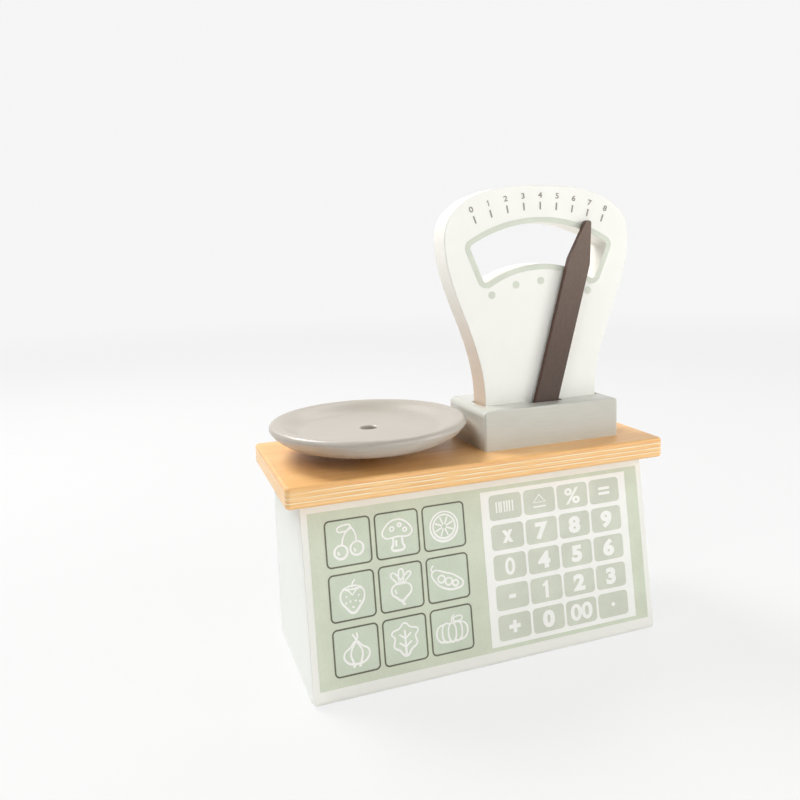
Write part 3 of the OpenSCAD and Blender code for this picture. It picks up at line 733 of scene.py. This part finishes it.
def turned_shape(points: Iterable[Pair], steps: int, closed: bool) -> BMesh:
    """Turns a line about Z.

    Args:
        points: The line's points as distance from Z and height, in metres.
        steps: Faces once round.
        closed: Whether the line ends where it begins.

    Returns:
        The turned shape.
    """
    shape = bmesh.new()
    verts = [shape.verts.new((r, 0.0, z)) for r, z in points]
    edges = [shape.edges.new(pair) for pair in zip(verts, verts[1:] + verts[:closed])]
    bmesh.ops.spin(shape, geom=verts + edges, cent=(0, 0, 0), axis=(0, 0, 1), angle=FULL_TURN, steps=steps,
                   use_merge=True)
    bmesh.ops.remove_doubles(shape, verts=shape.verts, dist=MERGE_REACH)
    bmesh.ops.recalc_face_normals(shape, faces=shape.faces)
    return shape


def dress_nodes(material: Material, *nodes: str) -> None:
    """Gives parts that stay as they are their finish."""
    for node in nodes:
        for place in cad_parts[node].material_slots:
            place.material = material
        LOG.info("%s: kept, %s", node, material.name)


def curve_mesh(curve: bpy.types.Curve) -> bpy.types.Mesh:
    """Turns a curve or a text into a mesh and removes it.

    Args:
        curve: The curve or text data.

    Returns:
        Its mesh, in the curve's own units.
    """
    holder = put(curve.name, curve)
    graph = bpy.context.evaluated_depsgraph_get()
    mesh = bpy.data.meshes.new_from_object(holder.evaluated_get(graph))
    bpy.data.objects.remove(holder)
    bpy.data.curves.remove(curve)
    return mesh


@dataclass(frozen=True)
class Stroke:
    """One drawn line of a picture, on a field from -1 to 1 each way."""

    points: Outline
    closed: bool = False
    sharp: bool = False


def line(*parts: float, closed: bool = False, sharp: bool = False) -> Stroke:
    """A stroke through points, given as x and y in turn."""
    return Stroke(tuple(zip(parts[::2], parts[1::2])), closed, sharp)


def loop(*parts: float, sharp: bool = False) -> Stroke:
    """A closed stroke through points, given as x and y in turn."""
    return line(*parts, closed=True, sharp=sharp)


def both(*parts: float) -> tuple[Stroke, Stroke]:
    """An open stroke and its mirror image."""
    one = line(*parts)
    return one, Stroke(tuple((-x, y) for x, y in one.points))


def even(*parts: float) -> Stroke:
    """A closed stroke of which only one half is given, from one end in the middle to the other."""
    half, other = both(*parts)
    return Stroke(half.points + other.points[-2:0:-1], True)


def around(x: float, y: float, reach: Pair, count: int, start: float = 0.0) -> Outline:
    """Points round a middle.

    Args:
        x: The middle, across.
        y: The middle, upwards.
        reach: Their distance across and upwards.
        count: Number of points.
        start: Where the first one lies, in steps.

    Returns:
        The points.
    """
    turns = [FULL_TURN * (i + start) / count for i in range(count)]
    return tuple((x + reach[0] * math.cos(a), y + reach[1] * math.sin(a)) for a in turns)


def ring(x: float, y: float, across: float, up: float = 0.0, count: int = 8) -> Stroke:
    """A closed round stroke, which is a circle without its radius upwards."""
    return Stroke(around(x, y, (across, up or across), count), True)


def spokes(inner: float, outer: float, count: int) -> tuple[Stroke, ...]:
    """Straight strokes about the middle, from one distance to another."""
    ends = (around(0.0, 0.0, (reach, reach), count, HALF) for reach in (inner, outer))
    return tuple(Stroke(pair, sharp=True) for pair in zip(*ends))


def figure_one(stem: float) -> Outline:
    """Outline of the figure 1.

    Args:
        stem: Width of its stem, on a field from -1 to 1 each way.

    Returns:
        Its points.
    """
    right, left, flag, notch = stem * 0.6, -stem * 0.4, -0.48, 0.64
    return ((right, 1.0), (left + stem * 0.35, 1.0), (left - 0.08, 0.74), (flag, notch),
            (flag, notch - stem * 0.66), (left, notch - stem / 2), (left, -1.0), (right, -1.0))


@dataclass(frozen=True)
class Lettering:
    """How a text is set."""

    text: str
    size: Pair
    boldness: float
    like: str = ""


class Motif(Enum):
    """Plain line pictures for the squares."""

    CHERRIES = (ring(-0.42, -0.45, 0.34), ring(0.42, -0.36, 0.34),
                line(-0.36, -0.12, -0.22, 0.35, 0.16, 0.78), line(0.4, -0.03, 0.38, 0.38, 0.16, 0.78),
                loop(0.16, 0.78, -0.2, 0.88, -0.55, 0.66, -0.2, 0.56), line(-0.58, -0.42, -0.5, -0.6),
                line(0.26, -0.34, 0.34, -0.52))
    MUSHROOM = (loop(-0.78, -0.02, -0.62, 0.46, 0.0, 0.76, 0.62, 0.46, 0.78, -0.02, 0.0, -0.12),
                line(-0.24, -0.12, -0.26, -0.5, -0.34, -0.74, 0.0, -0.84, 0.34, -0.74, 0.26, -0.5,
                     0.24, -0.12), ring(-0.28, 0.3, 0.11), ring(0.14, 0.46, 0.09), ring(0.42, 0.18, 0.1),
                line(-0.08, -0.3, -0.1, -0.62))
    LEMON = (ring(0.0, 0.0, 0.78, count=12), ring(0.0, 0.0, 0.62, count=12), *spokes(0.12, 0.54, 8))
    STRAWBERRY = (even(0.0, 0.34, -0.5, 0.34, -0.62, -0.08, -0.34, -0.56, 0.0, -0.84),
                  loop(-0.5, 0.42, -0.2, 0.3, 0.0, 0.06, 0.2, 0.3, 0.5, 0.42, 0.16, 0.52, 0.0, 0.5,
                       -0.16, 0.52, sharp=True),
                  line(0.0, 0.5, 0.06, 0.68, 0.18, 0.82), line(0.0, -0.5, 0.0, -0.59),
                  *both(-0.32, 0.06, -0.32, -0.03), *both(-0.14, -0.2, -0.14, -0.29),
                  *both(-0.36, -0.26, -0.36, -0.35))
    RADISH = (even(0.0, 0.16, -0.42, 0.1, -0.54, -0.22, -0.24, -0.56, 0.0, -0.72),
              line(0.0, -0.72, 0.04, -0.84, 0.14, -0.94), line(-0.36, -0.1, -0.28, -0.34),
              loop(-0.04, 0.18, -0.34, 0.36, -0.5, 0.74, -0.16, 0.56),
              loop(0.0, 0.18, -0.12, 0.54, 0.04, 0.92, 0.16, 0.54),
              loop(0.04, 0.18, 0.32, 0.36, 0.54, 0.7, 0.2, 0.56))
    PEAS = (loop(-0.86, 0.42, -0.72, -0.1, -0.2, -0.52, 0.42, -0.62, 0.84, -0.42, 0.5, 0.0, -0.1, 0.3),
            ring(-0.38, 0.0, 0.19), ring(0.02, -0.18, 0.19), ring(0.4, -0.32, 0.15),
            line(-0.86, 0.42, -0.9, 0.62, -0.78, 0.78))
    ONION = (even(0.0, 0.46, -0.3, 0.2, -0.66, -0.12, -0.5, -0.54, 0.0, -0.68),
             *both(0.0, 0.46, -0.3, -0.1, -0.2, -0.62), line(0.0, 0.46, -0.06, 0.66, -0.18, 0.84),
             line(0.0, 0.46, 0.08, 0.66, 0.06, 0.88), line(-0.14, -0.7, -0.2, -0.84),
             line(0.1, -0.7, 0.16, -0.84))
    PUMPKIN = (ring(0.0, -0.14, 0.22, 0.5),
               *both(-0.1, 0.32, -0.4, 0.36, -0.56, -0.12, -0.4, -0.58, -0.1, -0.6),
               *both(-0.34, 0.36, -0.74, 0.24, -0.88, -0.16, -0.7, -0.52, -0.36, -0.58),
               line(0.0, 0.38, 0.02, 0.6, 0.16, 0.76), loop(0.1, 0.5, 0.36, 0.66, 0.62, 0.54, 0.38, 0.4))
    LETTUCE = (even(0.0, -0.82, -0.34, -0.5, -0.62, -0.28, -0.56, 0.14, -0.72, 0.42, -0.3, 0.62, 0.0, 0.86),
               line(0.0, -0.82, 0.0, 0.5), *both(0.0, -0.36, -0.34, -0.1), *both(0.0, 0.06, -0.32, 0.32))
    BARS = tuple(line(x, -0.5, x, 0.5, sharp=True) for x in (-0.9, -0.62, -0.42, -0.1, 0.16, 0.42, 0.74))
    EJECT = (loop(-0.62, -0.1, 0.0, 0.6, 0.62, -0.1, sharp=True), line(-0.66, -0.5, 0.66, -0.5, sharp=True))


class PrintLayer:
    """Flat printed shapes that are gathered into one piece."""

    pressure = 0.7
    knot_steps = 5

    def __init__(self, frame_of: Matrix, thickness: float) -> None:
        """Starts an empty layer.

        Args:
            frame_of: From the print's own millimetres, Z outwards, to metres in place.
            thickness: Thickness of the ink in millimetres.
        """
        self.frame_of = frame_of
        self.thickness = thickness
        self.shape = bmesh.new()

    def _take(self, mesh: bpy.types.Mesh, place: Matrix) -> None:
        """Adds a mesh whose Z runs from -0.5 to 0.5 and removes it."""
        raised = Matrix.Diagonal((1.0, 1.0, self.thickness, 1.0)) @ Matrix.Translation((0.0, 0.0, HALF))
        mesh.transform(self.frame_of @ place @ raised)
        self.shape.from_mesh(mesh)
        bpy.data.meshes.remove(mesh)

    @staticmethod
    def _set_text(text: str, boldness: float) -> tuple[bpy.types.Mesh, Vector, Vector]:
        """Sets a line of text.

        Args:
            text: The characters.
            boldness: How far its strokes are thickened, in parts of its size.

        Returns:
            Its mesh, and the lowest and highest corner of its box.
        """
        curve = bpy.data.curves.new("letters", "FONT")
        curve.body = text
        curve.extrude = HALF
        curve.bevel_depth = boldness
        curve.bevel_resolution = 1
        mesh = curve_mesh(curve)
        columns = list(zip(*(vert.co for vert in mesh.vertices)))
        return mesh, Vector(map(min, columns)), Vector(map(max, columns))

    def letters(self, line: Lettering, place: Matrix) -> None:
        """Adds lettering.

        Args:
            line: The text, and the size of it or of the characters that it is like, in millimetres.
            place: Where its middle goes, in the print's millimetres.
        """
        model, low, high = self._set_text(line.like or line.text, line.boldness)
        bpy.data.meshes.remove(model)
        mesh, own_low, own_high = self._set_text(line.text, line.boldness)
        span = high - low
        scale = Matrix.Diagonal((line.size[0] / span.x, line.size[1] / span.y, 1 / span.z, 1.0))
        middle = Matrix.Translation((-(own_low.x + own_high.x) / 2, -(low.y + high.y) / 2, 0.0))
        self._take(mesh, place @ scale @ middle)

    def filled(self, outline: Outline, place: Matrix, half: float) -> None:
        """Adds a filled shape.

        Args:
            outline: Its points, on a field from -1 to 1 each way.
            place: Where its middle goes, in the print's millimetres.
            half: Half the size of the field in millimetres.
        """
        mesh = bpy.data.meshes.new("filled")
        count = len(outline)
        points = [(x * half, y * half, z) for z in (-HALF, HALF) for x, y in outline]
        sides = [(i, (i + 1) % count, (i + 1) % count + count, i + count) for i in range(count)]
        mesh.from_pydata(points, [], [*sides, tuple(range(count))[::-1], tuple(range(count, 2 * count))])
        self._take(mesh, place)

    def strokes(self, strokes: Iterable[Stroke], place: Matrix, half: float, width: float) -> None:
        """Adds drawn lines.

        Args:
            strokes: The lines.
            place: Where the picture's middle goes, in the print's millimetres.
            half: Half the size of the picture in millimetres.
            width: Width of the lines in millimetres.
        """
        for stroke in strokes:
            curve = bpy.data.curves.new("stroke", "CURVE")
            curve.dimensions = "3D"
            curve.bevel_depth = width / 2
            curve.bevel_resolution = 1
            curve.resolution_u = self.knot_steps
            curve.use_fill_caps = True
            spline = curve.splines.new("BEZIER")
            spline.bezier_points.add(len(stroke.points) - 1)
            spline.use_cyclic_u = stroke.closed
            for knot, (x, y) in zip(spline.bezier_points, stroke.points):
                knot.co = (x * half, y * half, 0.0)
                knot.radius = 1.0 if stroke.sharp else 1.0 + self.pressure * max(-y, 0.0)
                knot.handle_left_type = knot.handle_right_type = "VECTOR" if stroke.sharp else "AUTO"
            mesh = curve_mesh(curve)
            deepest = max(abs(vert.co.z) for vert in mesh.vertices)
            mesh.transform(Matrix.Diagonal((1.0, 1.0, HALF / deepest, 1.0)))
            self._take(mesh, place)

    def piece(self, tag: Tag, material: Material) -> bpy.types.Object:
        """Makes the gathered shapes one piece."""
        return add_piece(self.shape, tag, material)


@dataclass
class Housing:
    """Board, four panels and what holds them together."""

    finishes: Finishes
    board_half: Pair = (120.0, 52.5)
    board_corner: float = 3.0
    board_ease: float = 1.8
    board_steps: int = 4
    front_half: float = 111.0
    front_corner: float = 5.0
    corner_steps: int = 6
    panel_ease: float = 0.9
    panel_steps: int = 3
    side_ease: float = 0.4

    def build(self) -> None:
        """Makes the housing's pieces."""
        shape = merged_copy("top_board")
        far_x, far_y = (half - self.board_corner - NEAR for half in self.board_half)
        ease(shape, self.board_ease, self.board_steps, lambda p: abs(p.x) > far_x or abs(p.y) > far_y)
        add_piece(shape, Tag("plywood_board", Body.HOUSING, "board_wood", "top_board"), self.finishes.board)
        self._panels()
        self._fittings()

    def _panels(self) -> None:
        """The sloped front, with its two lower corners rounded, and the other panels."""
        paint = self.finishes.housing
        shape = merged_copy("front_panel")
        ease(shape, self.front_corner, self.corner_steps,
             lambda p: abs(p.x) > self.front_half - NEAR and p.z < NEAR)
        ease(shape, self.panel_ease, self.panel_steps)
        add_piece(shape, Tag("sloped_front", Body.HOUSING, "body_paint", "front_panel"), paint)
        for side, radius in (("back", self.panel_ease), ("left", self.side_ease), ("right", self.side_ease)):
            eased_piece(Tag(f"{side}_wall", Body.HOUSING, "body_paint", f"{side}_panel"), radius, paint)

    def _fittings(self) -> None:
        """Finishes of the parts that are inside or underneath."""
        dress_nodes(self.finishes.fibreboard, "base_plate")
        dress_nodes(self.finishes.turned, "board_dowels", "spring_peg")
        dress_nodes(self.finishes.pine, "corner_posts", "lower_guide", "front_bearing", "rear_bearing")
        dress_nodes(self.finishes.steel, "base_screws", "block_screws", "bearing_screws")
        dress_nodes(self.finishes.spring, "return_spring")


@dataclass
class FrontPrint:
    """Printed front: a sage field, nine picture squares and a keypad."""

    finishes: Finishes
    foot_y: float = -57.5
    slope: float = math.atan(17.0 / 111.0)
    film: float = 0.1
    film_top: float = 0.12
    ink: float = 0.06
    tile_first: Pair = (-84.95, 86.63)
    tile_pitch: Pair = (28.7, 29.93)
    motif_half: float = 11.0
    motif_line: float = 0.95
    tile_half: Pair = (12.35, 12.37)
    key_first: Pair = (12.75, 92.5)
    key_half: Pair = (10.8, 7.6)
    key_pitch: Pair = (23.1, 17.9)
    keypad_left: float = -6.0
    digit_size: Pair = (8.3, 10.4)
    boldness: float = 0.055
    stem: float = 0.42
    sign_half: float = 6.6
    sign_line: float = 0.95
    drawn_signs: ClassVar[dict[str, Motif]] = {"B": Motif.BARS, "E": Motif.EJECT}
    signs: ClassVar[dict[str, Lettering]] = {
        "x": Lettering("x", (7.2, 7.6), 0.065), "+": Lettering("+", (7.6, 7.4), 0.05),
        "-": Lettering("-", (4.6, 2.4), 0.05), ".": Lettering(".", (2.6, 2.6), 0.05),
        "%": Lettering("%", (10.6, 10.0), 0.018), "=": Lettering("=", (8.0, 4.8), 0.018),
        "o": Lettering("0", (6.6, 10.4), 0.02, "0"), "D": Lettering("00", (7.8, 10.4), 0.035, "0"),
    }

    def on_front(self) -> Matrix:
        """From the print's millimetres, Y up the slope and Z outwards, to metres in place."""
        turned = Matrix.Rotation(FULL_TURN / 4 - self.slope, 4, "X")
        return Matrix.Scale(MM, 4) @ Matrix.Translation((0.0, self.foot_y, 0.0)) @ turned

    def build(self) -> None:
        """Makes the print's pieces."""
        self._field()
        self._pictures()
        self._labels()

    def _field(self) -> None:
        """The sage field with the squares' outlines and the white keypad."""
        shape = merged_copy("front_print")
        inwards = self.on_front().inverted()
        for face in shape.faces:
            middle = inwards @ face.calc_center_median()
            if middle.z > self.film_top:
                face.material_index = 1 if middle.x < self.keypad_left else 2
            elif all(self._in_cell(inwards @ vert.co) for vert in face.verts):
                face.material_index = 3 if middle.x < self.keypad_left else 4
        inks = self.finishes
        add_piece(shape, self._tag("printed_field"), inks.sage, inks.line, inks.white, inks.tile_sage,
                  inks.key_sage)

    def _tag(self, name: str) -> Tag:
        """The tag of a piece of the print."""
        return Tag(name, Body.HOUSING, "front_print", "front_print")

    def _grid(self, left: bool) -> tuple[Pair, Pair, Pair]:
        """Middle of the first cell, step from cell to cell, and half a cell, of the squares or the keys."""
        if left:
            return self.tile_first, self.tile_pitch, self.tile_half
        return self.key_first, self.key_pitch, self.key_half

    def _in_cell(self, point: Vector) -> bool:
        """Whether a point, in the print's millimetres, lies in a picture square or on a key."""
        first, pitch, half = self._grid(point.x < self.keypad_left)
        steps = ((point.x - first[0]) / pitch[0], (first[1] - point.y) / pitch[1])
        return all(abs(step - round(step)) * size < reach + NEAR
                   for step, size, reach in zip(steps, pitch, half))

    def _cells(self, rows: Iterable[Iterable], left: bool) -> Iterator[tuple[Motif | str, Matrix]]:
        """Puts items in the squares or on the keys.

        Args:
            rows: The items, row by row from the top.
            left: Whether they go in the squares on the left.

        Yields:
            Each item and the place of its middle.
        """
        first, pitch, _ = self._grid(left)
        for row, items in enumerate(rows):
            for column, item in enumerate(items):
                x, y = first[0] + column * pitch[0], first[1] - row * pitch[1]
                yield item, Matrix.Translation((x, y, self.film))

    def _pictures(self) -> None:
        """White line pictures in the nine squares."""
        layer = PrintLayer(self.on_front(), self.ink)
        rows = ((Motif.CHERRIES, Motif.MUSHROOM, Motif.LEMON), (Motif.STRAWBERRY, Motif.RADISH, Motif.PEAS),
                (Motif.ONION, Motif.LETTUCE, Motif.PUMPKIN))
        for motif, place in self._cells(rows, left=True):
            layer.strokes(motif.value, place, self.motif_half, self.motif_line)
        layer.piece(self._tag("square_pictures"), self.finishes.white)

    def _labels(self) -> None:
        """White numbers and signs on the keys."""
        layer = PrintLayer(self.on_front(), self.ink)
        for mark, place in self._cells(("BE%=", "x789", "o456", "-123", "+0D."), left=False):
            if mark in self.drawn_signs:
                layer.strokes(self.drawn_signs[mark].value, place, self.sign_half, self.sign_line)
            elif mark == "1":
                layer.filled(figure_one(self.stem), place, self.digit_size[1] / 2)
            else:
                figure = Lettering(mark, self.digit_size, self.boldness, "0")
                layer.letters(self.signs.get(mark, figure), place)
        layer.piece(self._tag("key_labels"), self.finishes.white)


@dataclass
class DialStand:
    """Block, dial board, the print round its window, and its numbers."""

    finishes: Finishes
    middle_x: float = 51.5
    block_top: float = 148.5
    slot_ease: float = 0.35
    bare_foot: float = 25.0
    dial_front_y: float = -20.0
    dial_back_y: float = -2.0
    edge_ease: float = 3.0
    edge_steps: int = 4
    window_ease: float = 0.5
    window_half: float = 52.0
    window_span: Pair = (215.0, 261.5)
    pivot_z: float = 144.0
    tick_foot_r: float = 123.5
    number_r: float = 133.3
    number_size: Pair = (2.6, 3.5)
    boldness: float = 0.022
    stem: float = 0.34
    ink: float = 0.15
    mark_angle: float = 5.15
    marks: int = 8

    def build(self) -> None:
        """Makes the stand's pieces."""
        self._block()
        self._dial()
        self._print()
        self._numbers()

    def _block(self) -> None:
        """The painted block, with the edges of its slot eased."""
        shape = merged_copy("dial_block")
        ease(shape, self.slot_ease, chosen=lambda p: p.z > self.block_top - NEAR)
        tag = Tag("dial_foot_block", Body.HOUSING, "block_paint", "dial_block")
        add_piece(shape, tag, self.finishes.block)

    def _in_window(self, p: Vector) -> bool:
        """Whether a point is on the window's edge."""
        low, high = self.window_span
        return abs(p.x - self.middle_x) < self.window_half and low < p.z < high

    def _dial(self) -> None:
        """The dial board, round at its outer edges and lightly eased at the back of its window."""
        shape = merged_copy("dial_board")
        ease(shape, self.window_ease, chosen=lambda p: self._in_window(p) and p.y > self.dial_back_y - NEAR)
        foot = self.block_top - self.bare_foot
        ease(shape, self.edge_ease, self.edge_steps, lambda p: not self._in_window(p) and p.z > foot)
        add_piece(shape, Tag("white_dial", Body.HOUSING, "dial_paint", "dial_board"), self.finishes.dial)

    def _print(self) -> None:
        """The window's border, the dots and the marks."""
        shape = merged_copy("dial_print")
        pivot = Vector((self.middle_x, 0.0, self.pivot_z))
        for face in shape.faces:
            arm = face.calc_center_median() / MM - pivot
            arm.y = 0.0
            face.material_index = int(arm.length > self.tick_foot_r)
        tag = Tag("dial_border_and_marks", Body.HOUSING, "dial_print", "dial_print")
        add_piece(shape, tag, self.finishes.soft_sage, self.finishes.figures)

    def _numbers(self) -> None:
        """The numbers over the marks."""
        upright = Matrix.Translation((0, 0, self.number_r)) @ Matrix.Rotation(FULL_TURN / 4, 4, "X")
        layer = PrintLayer(Matrix.Scale(MM, 4), self.ink)
        for number in range(self.marks + 1):
            lean = math.radians((number - self.marks / 2) * self.mark_angle)
            at_pivot = Matrix.Translation((self.middle_x, self.dial_front_y, self.pivot_z))
            place = at_pivot @ Matrix.Rotation(lean, 4, "Y") @ upright
            if number == 1:
                layer.filled(figure_one(self.stem), place, self.number_size[1] / 2)
            else:
                layer.letters(Lettering(str(number), self.number_size, self.boldness, "0"), place)
        layer.piece(Tag("dial_numbers", Body.HOUSING, "dial_print", "dial_print"), self.finishes.figures)


@dataclass
class PointerSet:
    """Pointer, its pin and its washer."""

    finishes: Finishes
    edge_ease: float = 0.45

    def build(self) -> None:
        """Makes the pointer's pieces."""
        tag = Tag("brown_pointer", Body.POINTER, "pointer_paint", "pointer")
        eased_piece(tag, self.edge_ease, self.finishes.pointer)
        dress_nodes(self.finishes.steel, "pointer_pin")
        dress_nodes(self.finishes.washer, "pointer_washer")


@dataclass
class DishSet:
    """Dish, its screw and washer, and the stem that it sits on."""

    finishes: Finishes
    place: Triple = (-58.0, 0.0, 129.5)
    radius: float = 60.0
    foot_r: float = 32.0
    height: float = 15.0
    floor: float = 9.0
    lip_w: float = 3.0
    lip_drop: float = 3.0
    turn: float = math.radians(75)
    slope_w: float = 17.0
    web: float = 3.0
    well_r: float = 5.2
    well_ease: float = 0.6
    hole_r: float = 2.05
    curve_steps: int = 20
    turn_steps: int = 144
    small_ease: float = 0.25

    def build(self) -> None:
        """Makes the dish's pieces."""
        self._dish()
        self._fixings()

    def profile(self) -> Outline:
        """Half section of the dish.

        Returns:
            Points as distance from the middle and height, once round.
        """
        shares = [i / self.curve_steps for i in range(self.curve_steps + 1)]
        crest_r = self.radius - self.lip_w
        reach, rise = self.radius - self.foot_r, self.height - self.lip_drop
        outer = [(self.foot_r + reach * math.sin(self.turn * t) / math.sin(self.turn),
                  rise * (1 - math.cos(self.turn * t)) / (1 - math.cos(self.turn))) for t in shares]
        lip = [(crest_r + self.lip_w * math.cos(math.pi / 2 * t),
                rise + self.lip_drop * math.sin(math.pi / 2 * t)) for t in shares[1:]]
        inner = [(crest_r - self.slope_w * t,
                  self.floor + (self.height - self.floor) * (1 + math.cos(math.pi * t)) / 2)
                 for t in shares[1:]]
        well = [(self.well_r + self.well_ease, self.floor), (self.well_r, self.floor - self.well_ease),
                (self.well_r, self.web), (self.hole_r, self.web), (self.hole_r, 0.0)]
        return tuple(outer + lip + inner + well)

    def _dish(self) -> None:
        """The turned dish, spun from its half section."""
        points = ((r * MM, z * MM) for r, z in self.profile())
        shape = turned_shape(points, self.turn_steps, closed=True)
        bmesh.ops.translate(shape, vec=Vector(self.place) * MM, verts=shape.verts)
        add_piece(shape, Tag("turned_dish", Body.DISH, "dish_paint", "dish"), self.finishes.dish)

    def _fixings(self) -> None:
        """Screw, stem and foot."""
        steel, turned = self.finishes.steel, self.finishes.turned
        for tag, material in ((Tag("dish_head_screw", Body.DISH, "steel", "dish_screw"), steel),
                              (Tag("turned_stem", Body.DISH, "turned_wood", "stem"), turned),
                              (Tag("board_bush", Body.HOUSING, "turned_wood", "guide_bush"), turned)):
            eased_piece(tag, self.small_ease, material)
        dress_nodes(self.finishes.washer, "dish_washer")
        dress_nodes(self.finishes.pine, "stop_collar", "stem_foot")
        dress_nodes(steel, "collar_pin")


@dataclass
class Rocker:
    """The two arms on their shaft, inside the housing."""

    finishes: Finishes
    arm_ease: float = 0.6

    def build(self) -> None:
        """Makes the rocker's pieces."""
        for node, material in (("long_arm", self.finishes.beech), ("upright_arm", self.finishes.upright)):
            eased_piece(Tag(f"rocker_{node}", Body.ROCKER, "arm_wood", node), self.arm_ease, material)
        dress_nodes(self.finishes.shaft, "rocker_shaft")
        dress_nodes(self.finishes.steel, "shaft_pins")


@dataclass(frozen=True)
class Lamp:
    """A soft lamp that points at the toy."""

    name: str
    place: Triple
    power: float
    size: float = 0.8


@dataclass
class Studio:
    """Floor, backdrop, lamps, surroundings and camera."""

    target: Triple = (0.0, 0.0, 0.12)
    floor_r: float = 7.0
    bend: float = 2.5
    wall_height: float = 9.0
    bend_segments: int = 16
    turn_steps: int = 96
    floor_shade: Shade = Shade(236, 236, 235)
    floor_roughness: float = 0.9
    seen_white: float = 0.935
    near_share: float = 0.8
    far_share: float = 0.98
    near_reach: float = 0.5
    far_reach: float = 2.5
    sky: float = 0.12
    lamps: tuple[Lamp, ...] = (
        Lamp("low_right", (1.338, -0.773, 0.534), 11.0),
        Lamp("low_front", (0.529, -1.452, 0.534), 5.4),
        Lamp("back_left", (-0.661, 0.788, 1.346), 24.0),
        Lamp("back_right", (0.661, 0.788, 1.346), 5.0),
        Lamp("front_left", (-0.98, -0.566, 1.251), 6.0),
    )
    camera_place: Triple = (-0.18754, -0.44800, 0.24848)
    camera_right: Triple = (0.93343, -0.35779, -0.02648)
    camera_down: Triple = (-0.06818, -0.10443, -0.99219)
    camera_forward: Triple = (0.35223, 0.92794, -0.12187)
    lens: float = 34.82
    shift: Pair = (-0.035, -0.075)
    sensor: float = 36.0
    clip: Pair = (0.01, 50.0)

    def build(self) -> None:
        """Sets the studio up."""
        self._floor()
        self._surroundings()
        for lamp in self.lamps:
            self._lamp(lamp)
        self._camera()
        bpy.context.scene.view_settings.view_transform = "Standard"

    def _floor(self) -> None:
        """A round floor that bends up into a wall on every side."""
        turns = [math.pi / 2 * i / self.bend_segments for i in range(self.bend_segments + 1)]
        bow = [(self.floor_r + self.bend * math.sin(a), self.bend * (1 - math.cos(a))) for a in turns]
        rim = (self.floor_r + self.bend, self.wall_height)
        shape = turned_shape([(0.0, 0.0), *bow, rim], self.turn_steps, closed=False)
        name = "floor_and_backdrop"
        put(name, smooth_mesh(shape, name, self._floor_material()))

    def _floor_material(self) -> Material:
        """A pale floor that looks near white to the camera and keeps its shadows."""
        sheet = NodeSheet.for_material("pale_floor")
        dull = sheet.dress(Base_Color=self.floor_shade.linear(), Roughness=self.floor_roughness)
        seen = sheet.add("ShaderNodeLightPath", output="Is Camera Ray")
        mirrored = sheet.add("ShaderNodeLightPath", output="Is Glossy Ray")
        glow = sheet.add("ShaderNodeEmission", inputs={"Color": (self.seen_white,) * 3 + (1.0,)})
        away = sheet.length(sheet.place()).rising(self.near_reach, self.far_reach)
        share = seen.or_more(mirrored) * (away * (self.far_share - self.near_share) + self.near_share)
        surface = Signal(sheet, sheet.nodes[SURFACE_NODE].outputs[0])
        both_looks = sheet.add("ShaderNodeMixShader", inputs={0: share, 1: surface, 2: glow})
        sheet.feed(sheet.nodes["Material Output"].inputs[0], both_looks)
        return dull

    def _surroundings(self) -> None:
        """Even light from all round, and white to the camera."""
        world = bpy.data.worlds.new("studio")
        bpy.context.scene.world = world
        sheet = NodeSheet(world)
        seen = sheet.add("ShaderNodeLightPath", output="Is Camera Ray")
        levels = {"Value": seen, "To Min": self.sky, "To Max": self.seen_white}
        back = sheet.nodes["Background"].inputs
        sheet.feed(back["Strength"], sheet.add("ShaderNodeMapRange", inputs=levels))
        sheet.feed(back["Color"], WHITE)

    def _lamp(self, lamp: Lamp) -> None:
        """Adds one soft lamp."""
        data = bpy.data.lights.new(lamp.name, "AREA")
        data.shape = "DISK"
        data.size = lamp.size
        data.energy = lamp.power
        towards = Vector(self.target) - Vector(lamp.place)
        turned = towards.to_track_quat("-Z", "Y").to_matrix().to_4x4()
        put(lamp.name, data).matrix_world = Matrix.Translation(lamp.place) @ turned

    def _camera(self) -> None:
        """The camera at the photograph's place."""
        data = bpy.data.cameras.new("camera")
        data.sensor_width = self.sensor
        data.lens = self.lens
        data.shift_x, data.shift_y = self.shift
        data.clip_start, data.clip_end = self.clip
        axes = (Vector(self.camera_right), -Vector(self.camera_down), -Vector(self.camera_forward))
        camera = put("camera", data)
        camera.matrix_world = Matrix.Translation(self.camera_place) @ Matrix(axes).transposed().to_4x4()
        bpy.context.scene.camera = camera


def main() -> None:
    """Builds and dresses the toy and sets the studio up."""
    logging.basicConfig(level=logging.INFO, format="%(message)s")
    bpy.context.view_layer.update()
    finishes = Finishes()
    for part in (Housing(finishes), FrontPrint(finishes), DialStand(finishes), PointerSet(finishes),
                 DishSet(finishes), Rocker(finishes), Studio()):
        part.build()


if __name__ == "__main__":
    main()
